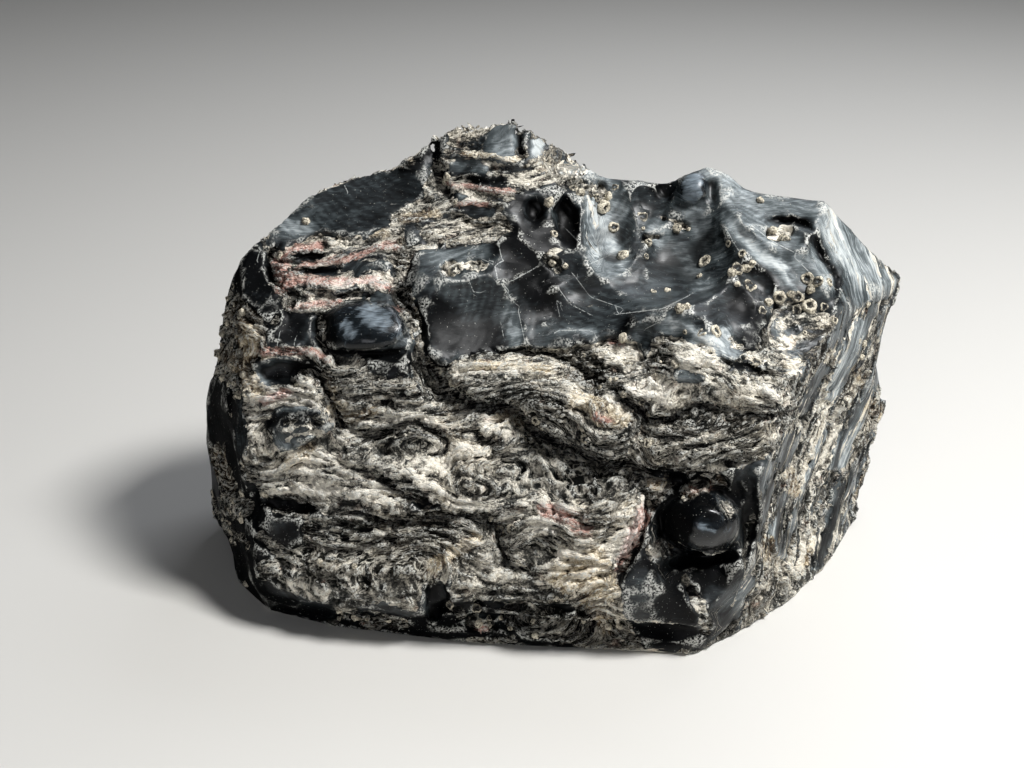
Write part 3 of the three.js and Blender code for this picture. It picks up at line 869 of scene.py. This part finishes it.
def large_forms(skin):
    """Presses the chart's forms into the skin, and breaks the other sides into scars and ledges."""
    skin.points = skin.blurred(skin.points, 2)
    here = Survey(skin, 12, 0.08, 0.32)
    above_base = smooth(here.points[:, 2], 0.5, 5)
    crust = 1 - here.glass
    elsewhere = 1 - 0.8 * here.seen
    lift = here.on_chart(chart_lift) - 2.0 * here.seen * crust
    steps = ledges(here.layer, here.points / (30, 22, 22), 13.0)
    lift -= (elsewhere + 0.4) * here.steady * crust * 3.0 * steps
    lift -= elsewhere * here.steady * 2.4 * np.abs(fold_grain.octaves(here.points / (38, 30, 26) + 5, 3))
    lift += here.glass * here.steady * flake_scars(here.points, 30.0, 3.0 - 2.5 * here.seen)
    lift += crust * here.steady * splinter_lift(here.points, here.layer, (20, 6.5, 15), 2.6 - 1.5 * here.seen)
    lift *= above_base
    in_view, hidden = lift * here.seen, lift * (1 - here.seen)
    skin.points += here.to_eye * in_view[:, None] + here.normals * hidden[:, None]


def broken_layers(skin):
    """Adds the ledges, splinters and pits of the crust and the small scars of the glass."""
    here = Survey(skin, 10, 0.02, 0.25)
    pile = np.where(here.side > 0.5, here.across, here.layer)
    rough = (1 - here.polished()) * (0.15 + 0.85 * here.steady) * smooth(here.points[:, 2], 0.3, 3)
    crust = (1 - here.glass) * rough
    glass = here.glass * rough

    stretched = np.stack([here.points[:, 0] / 8, pile / 2.0, here.points[:, 1] / 8], axis=1)
    ridges = 1 - np.abs(rough_grain.octaves(stretched, 3))
    pits = smooth(rough_grain.octaves(here.points / 4.2 + 70, 2), 0.60, 0.9)
    lift = 0.6 * ridges**2 + 1.7 * ledges(pile, here.points / (14, 9, 9), 5.6)
    lift += splinter_lift(here.points, pile, (9, 3.2, 7), 1.6)
    lift += splinter_lift(here.points + 40, pile, (4.5, 1.9, 4), 0.7)
    lift += 0.25 * rough_grain.octaves(here.points / 2.2, 2)
    lift -= 1.4 * pits + 1.0
    chips_off = flake_scars(here.points + 30, 14.0, 0.35) + 0.1 * rough_grain.octaves(here.points / 9, 2)
    skin.points += here.normals * (crust * lift + glass * chips_off)[:, None]
    skin.points = mix(skin.points, skin.blurred(skin.points, 2), 0.8 * here.glass[:, None])


def ring_reach(here):
    """How far each point is from where its shell-like fracture began, in mm."""
    reach = np.linalg.norm(here.points - FRACTURE_START, axis=1)
    for at, size, turn, start in RINGS:
        near = here.front[around(here.places[here.front], [at], max(size))]
        inside = near[radius_in(here.places[near], at, size, turn) < 1]
        reach[inside] = np.hypot(*(here.places[inside] - start).T)
    return reach


def hairline_offset(places):
    """Signed distance from the nearest hairline, in mm. Its sign also changes beyond a hairline's ends."""
    signed = np.full(len(places), 9.0)
    for path in HAIRLINES:
        near = around(places, path, 4)
        distance, _ = off_path(places[near], path)
        closer = np.abs(distance) < np.abs(signed[near])
        signed[near[closer]] = distance[closer]
    return signed


def finish_fields(skin):
    """The attributes that the finish reads, at each point."""
    here = Survey(skin, 8, 0.02, 0.25)
    normals = skin.normals()
    near, far = skin.blurred(skin.points, 2), skin.blurred(skin.points, 8)
    shades = splinter_cells(skin.points, here.layer, (9, 3.2, 7))[1][:, 1]
    shades += splinter_cells(skin.points, here.layer, (20, 6.5, 15))[1][:, 2]
    facets = scars((skin.points + 30) / 14.0)[1][:, 0] + scars(skin.points / 30.0)[1][:, 0]
    elsewhere = (1 - here.seen) * 0.6 * patch_grain.octaves(skin.points / 24 + 50, 2)
    # The left side and the foot lie in shadow: painted shade, in the colour and in weaker reflections.
    left = here.left * (0.2 + 0.8 * here.seen)
    foot = smooth(-skin.points[:, 2], -16, -6) * smooth(-skin.points[:, 0], -45, -25)
    fray = 0.22 * rough_grain.octaves(skin.points / 3.5 + 20, 2)
    pale, frost_and_highlight, dark, pink, tan = (
        smooth(here.on_chart(stroke_share, strokes) + fray, 0.08, 0.45)
        for strokes in (PALE, FROST_AND_HIGHLIGHTS, DARK, PINK, TAN)
    )
    # Painted shade: the crevices are darkened along their length, for their shadow, and so are the foot and
    # the low left side.
    painted_crevice_shade = here.on_chart(stroke_share, [(path, 1.2 * half_width) for path, half_width, _ in CREVICES])
    painted_left_shade = 1.2 * left * (skin.points[:, 2] < 110)
    dark = np.max([dark, 1.3 * smooth(painted_crevice_shade + fray, 0.2, 0.6), 0.9 * foot, painted_left_shade], axis=0)
    hairline = np.full(len(skin.points), 9.0)
    hairline[here.front] = hairline_offset(chart(skin.points[here.front]))
    return {
        "crust": 1 - here.glass,
        "layer": here.layer,
        "across": here.across,
        "side": here.side,
        "shade": shades,
        "facet": facets,
        "edge": np.einsum("ij,ij->i", skin.points - near, normals),
        "hollow": np.einsum("ij,ij->i", far - skin.points, normals),
        "polish": here.polished(),
        # pale carries painted highlights and painted shade as well as the glass's and crust's own paler and
        # darker stretches.
        "pale": pale + 0.8 * frost_and_highlight - dark + elsewhere,
        "shadow": np.maximum(0.9 * foot, left),
        "pink": pink,
        "tan": tan,
        "ring": ring_reach(here),
        "hairline": hairline,
        "off_hairline": np.abs(hairline),
    }


def finished_stone():
    mesh = frame["nodes"][NODE].data.copy()
    mesh = evaluated(mesh, "WELD", merge_threshold=1e-6)
    skin = Skin(remeshed(mesh, FIRST_VOXEL))
    large_forms(skin)
    skin = Skin(remeshed(skin.write("large forms"), SECOND_VOXEL))
    broken_layers(skin)
    mesh = skin.write("broken layers")
    share = MOST_TRIANGLES / len(skin.faces)
    chosen = np.einsum("ij,ij->i", skin.normals(), EYE - skin.points) > 0
    groups = {"plain sides": [(np.flatnonzero(~chosen), 1.0), (np.flatnonzero(chosen), 0.5)]}
    mesh = evaluated(
        mesh, "DECIMATE", groups, ratio=min(1.0, share), vertex_group="plain sides",
        vertex_group_factor=FRONT_CARE,
    )
    mesh.name = "stone"
    mesh.validate()
    mesh.shade_smooth()
    skin = Skin(mesh)
    finish = finish_fields(skin)
    for name, values in finish.items():
        attribute = mesh.attributes.new(name, "FLOAT", "POINT")
        attribute.data.foreach_set("value", values.astype(np.float32))
    return mesh, skin, finish


# ---------------------------------------------------------------- finishes

def srgb(code):
    """A hex colour as linear values with alpha."""
    parts = [int(code[i : i + 2], 16) / 255 for i in (1, 3, 5)]
    return [p / 12.92 if p <= 0.04045 else ((p + 0.055) / 1.055) ** 2.4 for p in parts] + [1.0]


def add(tree, kind, *values, stops=(), **options):
    """Adds a node. kind leaves out ShaderNode. values fill its inputs in order. Of the options, those with a
    small first letter are settings, and the others are inputs by name. A node given as a value stands for its
    first output in use. stops are a colour ramp's positions and colours."""
    node = tree.nodes.new(kind if "Node" in kind else "ShaderNode" + kind)
    for key, value in options.items():
        if key[0].islower():
            setattr(node, key, value)
    sockets = [socket for socket in node.inputs if socket.enabled]
    named = {socket.name.replace(" ", ""): socket for socket in sockets}
    given = list(zip(sockets, values))
    given += [(named[key], value) for key, value in options.items() if key[0].isupper()]
    for socket, value in given:
        if isinstance(value, bpy.types.Node):
            value = next(output for output in value.outputs if output.enabled)
        if isinstance(value, bpy.types.NodeSocket):
            tree.links.new(value, socket)
        else:
            socket.default_value = value
    for _ in stops[2:]:
        node.color_ramp.elements.new(0.5)
    for number, (position, code) in enumerate(stops):
        element = node.color_ramp.elements[number]
        element.position = position
        element.color = srgb(code)
    return node


def new_material(name):
    """A material without nodes, and the function that adds a node to it."""
    material = bpy.data.materials.new(name)
    material.use_nodes = True
    material.node_tree.nodes.clear()
    return material, partial(add, material.node_tree)


def crust_colours(node, here, tone, tan, pink):
    """Crystallised crust, from its dark gaps to its clean cream layers, with rust and salmon stains."""
    crust, warm, rosy = (node("ValToRGB", tone, stops=stops) for stops in (
        ((0.12, "#121412"), (0.36, "#3c3d3a"), (0.50, "#7b7971"), (0.64, "#b9b3a5"), (0.84, "#efe9db")),
        ((0.10, "#1d160d"), (0.34, "#57493a"), (0.52, "#998a70"), (0.70, "#c9ba9d"), (0.90, "#efe4cf")),
        ((0.08, "#2b1f1b"), (0.28, "#84655a"), (0.46, "#b78c7f"), (0.66, "#cca598"), (0.90, "#e6cfc6")),
    ))
    stain = node("TexNoise", here, Scale=1 / (26.0 * MM), Detail=3.0, Roughness=0.6)
    patchy = node("MapRange", stain, 0.42, 0.66, 0.0, 0.3, interpolation_type="SMOOTHSTEP")
    tanned = node("Math", tan, 0.8, patchy, operation="MULTIPLY_ADD")
    warmed = node("Mix", tanned, crust, warm, data_type="RGBA")
    return node("Mix", node("Math", pink, 0.9, operation="MULTIPLY"), warmed, rosy, data_type="RGBA")


def obsidian():
    """Obsidian broken by hand: black volcanic glass, near IOR 1.5, smooth in its scars, with a thin grey
    bloom. Where the melt crystallised along its layers it is a dull cream and grey crust, in long streaks."""
    material, node = new_material("flow-banded obsidian")
    here = node("TexCoord").outputs["Object"]
    f = {name: node("Attribute", attribute_name=name).outputs["Fac"] for name in (
        "crust", "layer", "across", "side", "shade", "facet", "edge", "hollow", "polish", "pale", "shadow",
        "pink", "tan", "ring", "hairline", "off_hairline",
    )}
    ruffle = node("TexNoise", here, Scale=1 / (4.0 * MM), Detail=2.0).outputs["Color"]

    def along_layers(along, over):
        """Coordinates in which grain along mm long and over mm thick is one across. The layers lie parallel
        to the front face, so they crop out edge on at the side."""
        parts = node("SeparateXYZ", here)
        x, y = (node("Math", parts.outputs[axis], 1 / (along * MM), operation="MULTIPLY") for axis in "XY")
        piles = (node("Math", f[name], 1 / over, operation="MULTIPLY") for name in ("layer", "across"))
        front, side = (node("CombineXYZ", x, y, pile) for pile in piles)
        return node("Mix", f["side"], front, side, data_type="VECTOR")

    def laid(along, over, detail=3.0):
        """Grain drawn out along the layers: along and over are its lengths in mm."""
        place = along_layers(along, over)
        return node("TexNoise", place, Scale=1.0, Detail=detail, Roughness=0.62, Distortion=0.25)

    def chips(along, over):
        """Splinters with hard edges, each of one tone."""
        bent = node("VectorMath", ruffle, (0.9,) * 3, along_layers(along, over), operation="MULTIPLY_ADD")
        return node("SeparateColor", node("TexVoronoi", bent, Scale=1.0, Randomness=1.0).outputs["Color"])

    def threads(noise, width):
        """Thin lines where the grain crosses its middle value."""
        off = node("Math", node("Math", noise, 0.5, operation="SUBTRACT"), operation="ABSOLUTE")
        return node("MapRange", off, 0.0, width, 1.0, 0.0, interpolation_type="SMOOTHSTEP")

    def total(start, *weighted):
        """start plus each part times its weight."""
        for part, weight in weighted:
            start = node("Math", part, weight, start, operation="MULTIPLY_ADD")
        return start

    def product(first, *others):
        """All the parts multiplied together."""
        for other in others:
            first = node("Math", first, other, operation="MULTIPLY")
        return first

    band = laid(16.0, 3.6, 4.0)
    streak = laid(6.0, 1.4, 5.0)
    thread = laid(3.0, 0.6, 2.0)
    long_chip = chips(9.0, 2.0)
    short_chip = chips(3.0, 1.0)
    long_fibre = threads(laid(14.0, 1.5, 1.0), 0.05)
    short_fibre = threads(laid(5.0, 1.1, 1.0), 0.06)
    crack = threads(laid(9.0, 3.0, 2.0), 0.04)
    seam = threads(laid(40.0, 2.4, 2.0), 0.12)
    # Even grain: the size of its lumps in mm, and its detail.
    speckle, cloud, haze, fleck = (
        node("TexNoise", here, Scale=1 / (size * MM), Detail=detail, Roughness=0.6)
        for size, detail in ((0.7, 3.0), (12.0, 3.0), (9.0, 5.0), (2.2, 4.0))
    )
    bare = node("Math", 1.0, f["polish"], operation="SUBTRACT")

    # Half of the even grains' weights is taken off again, because their middle value is a half.
    even = (
        (band, 0.9), (streak, 0.6), (thread, 0.6), (speckle, 0.9), (cloud, 0.7), (long_chip, 0.34),
        (short_chip, 0.26),
    )
    tone = total(0.545 - 0.5 * sum(weight for _, weight in even), *even)
    # The crust is darker in hollows: painted shade.
    tone = total(tone, (crack, -0.20), (f["pale"], 0.34), (f["shade"], 0.08), (f["hollow"], -0.14))
    tone = total(tone, (product(f["side"], seam), -0.42))
    fibres = node("Math", long_fibre, product(short_fibre, 0.8), operation="MAXIMUM")
    showing = total(0.0, (speckle, 0.3), (cloud, 0.7), (f["pale"], -0.06))
    showing = node("MapRange", showing, 0.44, 0.62, 0.05, 0.8, interpolation_type="SMOOTHSTEP")
    fibres = product(fibres, showing)
    crust = crust_colours(node, here, tone, f["tan"], f["pink"])
    crust = node("Mix", fibres, crust, srgb("#e3ddce"), data_type="RGBA")

    rings = total(0.0, (f["ring"], 2 * math.pi / 2.6), (haze, 5.0))
    rings = node("Math", rings, operation="SINE")
    clear = total(
        -0.50, (haze, 0.40), (fleck, 0.24), (f["pale"], 0.36), (thread, 0.45), (streak, 0.30), (rings, 0.05),
        (long_fibre, 0.08), (f["facet"], 0.06), (long_chip, 0.12),
    )
    hatched = total(-0.76, (long_chip, 0.35), (band, 0.6), (streak, 0.5), (thread, 0.5))
    clear = total(clear, (f["side"], hatched))
    broken, rounded = (node("ValToRGB", clear, stops=stops) for stops in (
        ((0.0, "#060708"), (0.24, "#1d2123"), (0.55, "#474e50"), (0.8, "#858c8e"), (1.0, "#b9bebd")),
        ((0.1, "#060708"), (0.45, "#161b1f"), (0.8, "#7d8890")),
    ))

    ragged = total(0.0, (f["crust"], 1.0), (band, 1.7), (streak, 0.7), (f["pink"], 0.4), (f["tan"], 0.25))
    ragged = total(ragged, (f["side"], total(-0.75, (short_chip, 0.5), (long_chip, 1.0))))
    # The signed distance crosses 0 on a hairline and beyond its ends, and the plain one is small only on it.
    crossing = node("Math", f["hairline"], operation="ABSOLUTE")
    # A smooth rise over a range of each value, and then the results where they aren't 0 to 1.
    crumbly, dust, thin_line, on_line, broken_line, on_edge, worn, painted_hollow_shade = (
        node("MapRange", *ends, interpolation_type="SMOOTHSTEP") for ends in (
            (ragged, 1.58, 1.74), (speckle, 0.67, 0.74), (crossing, 0.03, 0.20, 1.0, 0.0),
            (f["off_hairline"], 0.9, 1.4, 0.5, 0.0), (speckle, 0.35, 0.5),
            (f["edge"], 0.14, 0.34, 0.0, 0.8), (speckle, 0.42, 0.58), (f["hollow"], 0.5, 1.3, 0.0, 0.92),
        )
    )
    is_crust = product(crumbly, bare)
    # Each of these covers its share of those before it.
    colour = broken
    for share, top in (
        (f["polish"], rounded),
        (dust, srgb("#b4b4ac")),
        # hairline cracks, partly painted highlight along flake edges
        (product(thin_line, on_line, broken_line), srgb("#d9dcd8")),  # hairline cracks
        (is_crust, crust),
        (product(on_edge, worn, bare), srgb("#c9c9c2")),  # chipped edges
        # painted shade: near black laid over the hollows and gaps, where shadow falls
        (painted_hollow_shade, srgb("#090909")),  # hollows and gaps
    ):
        colour = node("Mix", share, colour, top, data_type="RGBA")

    frosted, shaded = (node("Math", f["pale"], 0.0, operation=limit) for limit in ("MAXIMUM", "MINIMUM"))
    matt = node("MapRange", is_crust, 0.0, 1.0, 0.36, 0.88, interpolation_type="SMOOTHSTEP")
    roughness = total(matt, (f["polish"], -0.22), (haze, 0.12), (frosted, 0.16), (f["shadow"], 0.3))
    relief = total(0.0, (streak, 0.8), (thread, 0.6), (fibres, 0.5), (crack, -0.5), (speckle, 0.9))
    relief = total(product(relief, is_crust), (thread, 0.05), (rings, 0.012))
    # Painted shade: reflections are weakened where the foot and the left side are shaded, and under the
    # darker strokes.
    gloss = node("Math", total(0.38, (f["shadow"], -0.34), (shaded, 0.26)), 0.02, operation="MAXIMUM")
    bump = node("Bump", Strength=1.0, Distance=0.7 * MM, Height=relief)
    shader = node(
        "BsdfPrincipled", BaseColor=colour, Roughness=roughness, Normal=bump, IOR=1.5, SpecularIORLevel=gloss
    )
    node("OutputMaterial", shader)
    return material


def nodule_finish():
    """Spherulites: balls of fine radiating feldspar and cristobalite, dull cream with a grey heart."""
    material, node = new_material("spherulite feldspar")
    here = node("TexCoord").outputs["Object"]
    heart = node("Attribute", attribute_name="heart").outputs["Fac"]
    crumbs, stain = (
        node("TexNoise", here, Scale=1 / (size * MM), Detail=detail, Roughness=0.6)
        for size, detail in ((0.7, 3.0), (5.0, 2.0))
    )
    tone = -0.75
    for part, weight in ((heart, -0.5), (crumbs, 1.5), (stain, 0.9)):
        tone = node("Math", part, weight, tone, operation="MULTIPLY_ADD")
    stops = ((0.0, "#1f1e1b"), (0.24, "#5d594f"), (0.42, "#a69e8c"), (0.62, "#d9d1bd"))
    colour = node("ValToRGB", tone, stops=stops)
    bump = node("Bump", Strength=0.8, Distance=0.3 * MM, Height=crumbs)
    node("OutputMaterial", node("BsdfPrincipled", BaseColor=colour, Roughness=0.85, Normal=bump, IOR=1.5))
    return material


def floor_finish():
    """Matt painted board."""
    material, node = new_material("pale matt floor")
    node("OutputMaterial", node("BsdfPrincipled", BaseColor=srgb("#cfcdc8"), Roughness=0.7))
    return material


# ---------------------------------------------------------------- nodules and flakes

# Radius and height up the wall of each shape, for a nodule of radius 1 mm, and how lumpy it is: one whose
# heart has weathered out, a dimpled one, a whole one, and one that is broken open.
NODULE_SHAPES = [
    ([(1.0, -0.5), (1.06, 0.0), (0.90, 0.36), (0.60, 0.42), (0.36, 0.10), (0.0, -0.1)], 0.16),
    ([(1.0, -0.5), (1.04, 0.05), (0.86, 0.42), (0.55, 0.66), (0.28, 0.60), (0.0, 0.52)], 0.14),
    ([(1.0, -0.5), (1.02, 0.05), (0.84, 0.5), (0.52, 0.78), (0.24, 0.90), (0.0, 0.94)], 0.20),
    ([(1.0, -0.5), (1.10, -0.05), (0.96, 0.22), (0.50, 0.16), (0.24, -0.1), (0.0, -0.2)], 0.26),
]
NODULE_SIDES = 11
BACK_NODULES = 46
FOOT_NODULES = 110  # small ones, in the shade of the foot and the left side
FLAKES = 13500
FLAKE_SHAPES = 7
FLAKE_SIDES = 6


def nodule_mesh(profile, lumpiness, seed):
    """A squat ball of radius 1 mm, sunk at its base. Its heart may have weathered out."""
    rng = np.random.default_rng(seed)
    points, hearts, faces = [], [], []
    for ring, (radius, height) in enumerate(profile[:-1]):
        for side in range(NODULE_SIDES):
            angle = 2 * math.pi * (side + 0.5 * ring + rng.uniform(-0.2, 0.2)) / NODULE_SIDES
            wide = radius * (1 + lumpiness * rng.uniform(-1, 1))
            tall = height + lumpiness * rng.uniform(-1, 1)
            points.append((wide * math.cos(angle) * MM, wide * math.sin(angle) * MM, tall * MM))
            hearts.append(1.0 if height < 0.4 and radius < 0.55 else 0.0)
    top = len(points)
    points.append((0, 0, profile[-1][1] * MM))
    hearts.append(1.0 if profile[-1][1] < 0.7 else 0.3)
    points.append((0, 0, profile[0][1] * MM))
    hearts.append(0.0)
    rings = len(profile) - 1
    for side in range(NODULE_SIDES):
        beside = (side + 1) % NODULE_SIDES
        for ring in range(rings - 1):
            low, high = ring * NODULE_SIDES, (ring + 1) * NODULE_SIDES
            faces.append((low + side, low + beside, high + side))
            faces.append((low + beside, high + beside, high + side))
        last = (rings - 1) * NODULE_SIDES
        faces.append((last + side, last + beside, top))
        faces.append((beside, side, top + 1))
    mesh = bpy.data.meshes.new("nodule")
    mesh.from_pydata(points, [], faces)
    mesh.attributes.new("heart", "FLOAT", "POINT").data.foreach_set("value", hearts)
    mesh.shade_smooth()
    return mesh


def seats_mesh(points, **values):
    """A cloud of points with a value or a direction for each."""
    cloud = bpy.data.meshes.new("seats")
    cloud.from_pydata((points * MM).tolist(), [], [])
    for name, data in values.items():
        kind, key = ("FLOAT_VECTOR", "vector") if np.ndim(data) == 2 else ("FLOAT", "value")
        attribute = cloud.attributes.new(name, kind, "POINT")
        attribute.data.foreach_set(key, np.ascontiguousarray(data, np.float32).ravel())
    return cloud


def nodule_seats(skin, finish):
    """Where nodules sit: the ones on the chart, then a seeded scatter over the back's glass and the foot."""
    normals = skin.normals()
    places = chart(skin.points)
    to_eye = EYE - skin.points
    facing = np.einsum("ij,ij->i", normals, to_eye) > 0
    indices, radii = [], []
    for across, up, radius in NODULES:
        gap = np.hypot(*(places - (across, up)).T) + np.where(facing, 0, 99)
        near = np.flatnonzero(gap < gap.min() + 0.8)
        indices.append(near[np.argmin(np.linalg.norm(to_eye[near], axis=1))])
        radii.append(radius)
    rng = np.random.default_rng(7)
    bare = np.flatnonzero((finish["crust"] < 0.2) & (skin.points[:, 2] > 12) & (skin.points[:, 1] > 32))
    indices += list(rng.choice(bare, BACK_NODULES, replace=False))
    radii += list(rng.uniform(0.9, 2.3, BACK_NODULES))
    bare = (finish["polish"] < 0.3) & (finish["hollow"] < 0.6) & (skin.points[:, 2] > 2)
    foot = np.flatnonzero((finish["shadow"] > 0.5) & facing & bare)
    indices += list(rng.choice(foot, FOOT_NODULES, replace=False))
    radii += list(rng.uniform(0.5, 1.6, FOOT_NODULES))
    return seats_mesh(
        skin.points[indices], out=normals[indices], along=rng.normal(size=(len(indices), 3)),
        size=np.stack([radii] * 3, axis=1),
    )


def flake_mesh(seed):
    """A chip of crust with a ragged outline and a bent crest. It is 2 mm long and wide and 1 mm tall."""
    rng = np.random.default_rng(seed)
    rim = []
    for side in range(FLAKE_SIDES):
        angle = 2 * math.pi * (side + rng.uniform(-0.25, 0.25)) / FLAKE_SIDES
        reach = rng.uniform(0.75, 1.15)
        rim.append((reach * math.cos(angle), reach * math.sin(angle), rng.uniform(-0.1, 0.3)))
    crest = [(rng.uniform(-0.3, 0.3), y + rng.uniform(-0.2, 0.2), rng.uniform(0.8, 1.2)) for y in (0.4, -0.4)]
    root = (0.0, 0.0, -1.2)
    left, right, under = range(FLAKE_SIDES, FLAKE_SIDES + 3)
    faces = [(FLAKE_SIDES // 2, right, left), (0, left, right)]
    for side in range(FLAKE_SIDES):
        beside = (side + 1) % FLAKE_SIDES
        faces.append((side, beside, left if side < FLAKE_SIDES // 2 else right))
        faces.append((beside, side, under))
    mesh = bpy.data.meshes.new("flake")
    mesh.from_pydata([tuple(MM * value for value in point) for point in [*rim, *crest, root]], [], faces)
    return mesh


def flake_seats(skin, finish):
    """Where chips of crust lie: scattered over the crust, along its layers."""
    normals = skin.normals()
    pile = np.where(finish["side"] > 0.5, finish["across"], finish["layer"])
    along = skin.along(pile, normals)
    rng = np.random.default_rng(31)
    level = (finish["hollow"] < 0.4) & (finish["edge"] < 0.1)
    rough = np.flatnonzero((finish["crust"] > 0.5) & level & (skin.points[:, 2] > 1.5))
    chosen = rng.choice(rough, min(FLAKES, len(rough)), replace=False)
    count = len(chosen)
    limits = ((0.5, 1.7), (0.3, 0.8), (0.12, 0.34))  # half length, half width and height
    size = np.stack([rng.uniform(low, high, count) for low, high in limits], axis=1)
    tilt, turn = (spread * rng.normal(size=(count, 3)) for spread in (0.22, 0.4))
    same = {name: values[chosen] for name, values in finish.items() if name not in ("edge", "hollow")}
    return seats_mesh(
        skin.points[chosen], out=normals[chosen] + tilt, along=along[chosen] + turn, size=size, **same
    )


def scatter_tree():
    """Sets one of a collection's shapes on each point: its Z lies along the point's out, its X near along."""
    tree = bpy.data.node_groups.new("set out pieces", "GeometryNodeTree")
    for name, kind, way in (
        ("Seats", "Geometry", "INPUT"), ("Shapes", "Collection", "INPUT"), ("Shape Count", "Int", "INPUT"),
        ("Material", "Material", "INPUT"), ("Least Size", "Float", "INPUT"), ("Seed", "Int", "INPUT"),
        ("Pieces", "Geometry", "OUTPUT"),
    ):
        tree.interface.new_socket(name, in_out=way, socket_type="NodeSocket" + kind)
    node = partial(add, tree)
    given = node("NodeGroupInput").outputs
    shapes = node("GeometryNodeCollectionInfo", Collection=given["Shapes"], SeparateChildren=True)
    out, along, size = (
        node("GeometryNodeInputNamedAttribute", name, data_type="FLOAT_VECTOR")
        for name in ("out", "along", "size")
    )
    upright = node("FunctionNodeAlignRotationToVector", Vector=out, axis="Z")
    turned = node(
        "FunctionNodeAlignRotationToVector", Rotation=upright, Vector=along, axis="X", pivot_axis="Z"
    )
    last = node("Math", given["Shape Count"], 1.0, operation="SUBTRACT")
    kind = node("FunctionNodeRandomValue", Max=last, Seed=given["Seed"], data_type="INT")
    scale = node("VectorMath", size, given["Least Size"], operation="MAXIMUM")
    placed = node(
        "GeometryNodeInstanceOnPoints", Points=given["Seats"], Instance=shapes, PickInstance=True,
        InstanceIndex=kind, Rotation=turned, Scale=scale,
    )
    real = node("GeometryNodeRealizeInstances", placed)
    node("NodeGroupOutput", node("GeometryNodeSetMaterial", real, Material=given["Material"]))
    return tree


def set_out(seats, shapes, material, least_size):
    """One mesh with one of the shapes on each seat."""
    holder = bpy.data.objects.new("seats", seats)
    bpy.context.scene.collection.objects.link(holder)
    patterns = bpy.data.collections.new("patterns")
    for number, shape in enumerate(shapes):
        patterns.objects.link(bpy.data.objects.new(f"pattern {number:02}", shape))
    modifier = holder.modifiers.new("set out", "NODES")
    modifier.node_group = scatter_tree()
    settings = {
        "Shapes": patterns, "Shape Count": len(shapes), "Material": material, "Least Size": least_size,
        "Seed": 5,
    }
    for item in modifier.node_group.interface.items_tree:
        if item.in_out == "INPUT" and item.name in settings:
            modifier[item.identifier] = settings[item.name]
    graph = bpy.context.evaluated_depsgraph_get()
    mesh = bpy.data.meshes.new_from_object(holder.evaluated_get(graph))
    for item in [holder, *patterns.objects]:
        bpy.data.objects.remove(item)
    bpy.data.collections.remove(patterns)
    return mesh


def nodules(skin, finish, material):
    """Every nodule as one mesh, roughened."""
    shapes = [nodule_mesh(*shape, seed) for seed, shape in enumerate(NODULE_SHAPES)]
    mesh = set_out(nodule_seats(skin, finish), shapes, material, 0.8)
    points = np.empty(len(mesh.vertices) * 3)
    mesh.vertices.foreach_get("co", points)
    points = points.reshape(-1, 3) / MM
    shake = np.stack([rough_grain(points / 1.3 + turn) for turn in TURNS], axis=1)
    mesh.vertices.foreach_set("co", ((points + 0.3 * shake) * MM).ravel())
    mesh.update()
    return mesh


def flakes(skin, finish, material):
    """Every chip of crust as one mesh."""
    shapes = [flake_mesh(seed) for seed in range(FLAKE_SHAPES)]
    return set_out(flake_seats(skin, finish), shapes, material, 0.1)


# ---------------------------------------------------------------- studio

def camera():
    data = bpy.data.cameras.new("camera")
    data.lens = 50
    data.sensor_width = 36
    item = bpy.data.objects.new("camera", data)
    item.location = Vector(EYE * MM)
    item.rotation_euler = (math.pi / 2 - ELEVATION, 0, 0)
    bpy.context.scene.collection.objects.link(item)
    bpy.context.scene.camera = item


def softbox(name, direction, distance, size, power, tint):
    """An area light that faces the stone. Its distance and size are in metres."""
    data = bpy.data.lights.new(name, "AREA")
    data.shape = "RECTANGLE"
    data.size, data.size_y = size
    data.energy = power
    data.color = srgb(tint)[:3]
    item = bpy.data.objects.new(name, data)
    out = Vector(direction).normalized()
    middle = Vector(MIDDLE * MM)
    item.location = middle + out * distance
    item.rotation_euler = out.to_track_quat("Z", "Y").to_euler()
    bpy.context.scene.collection.objects.link(item)


def studio():
    mesh = bpy.data.meshes.new("floor")
    half = 3.0
    corners = [(-half, -half, 0), (half, -half, 0), (half, half, 0), (-half, half, 0)]
    mesh.from_pydata(corners, [], [(0, 1, 2, 3)])
    floor = bpy.data.objects.new("floor", mesh)
    mesh.materials.append(floor_finish())
    bpy.context.scene.collection.objects.link(floor)
    world = bpy.data.worlds.new("studio")
    bpy.context.scene.world = world
    world.use_nodes = True
    world.node_tree.nodes["Background"].inputs["Color"].default_value = srgb("#c9ccd0")
    world.node_tree.nodes["Background"].inputs["Strength"].default_value = 0.10
    softbox("key", (0.48, -0.24, 0.84), 1.0, (0.24, 0.24), 15.5, "#ffffff")
    softbox("sky", (0.35, 0.55, 0.76), 1.3, (0.9, 0.5), 5, "#f1f6ff")
    softbox("right side", (0.95, -0.25, 0.3), 1.2, (0.4, 0.5), 0.8, "#ffffff")
    softbox("front fill", (-0.30, -0.92, 0.35), 1.6, (0.8, 0.6), 3.2, "#f6f8ff")
    bpy.context.scene.view_settings.view_transform = "Standard"


# ---------------------------------------------------------------- the scene

def piece(name, mesh):
    item = bpy.data.objects.new(name, mesh)
    bpy.context.scene.collection.objects.link(item)
    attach(item, "root")
    return item


camera()
studio()
stone_mesh, stone_skin, stone_fields = finished_stone()
finish = obsidian()
stone_mesh.materials.append(finish)
stone = piece("stone", stone_mesh)
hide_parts(NODE)
piece("spherulites", nodules(stone_skin, stone_fields, nodule_finish()))
piece("crust_flakes", flakes(stone_skin, stone_fields, finish))
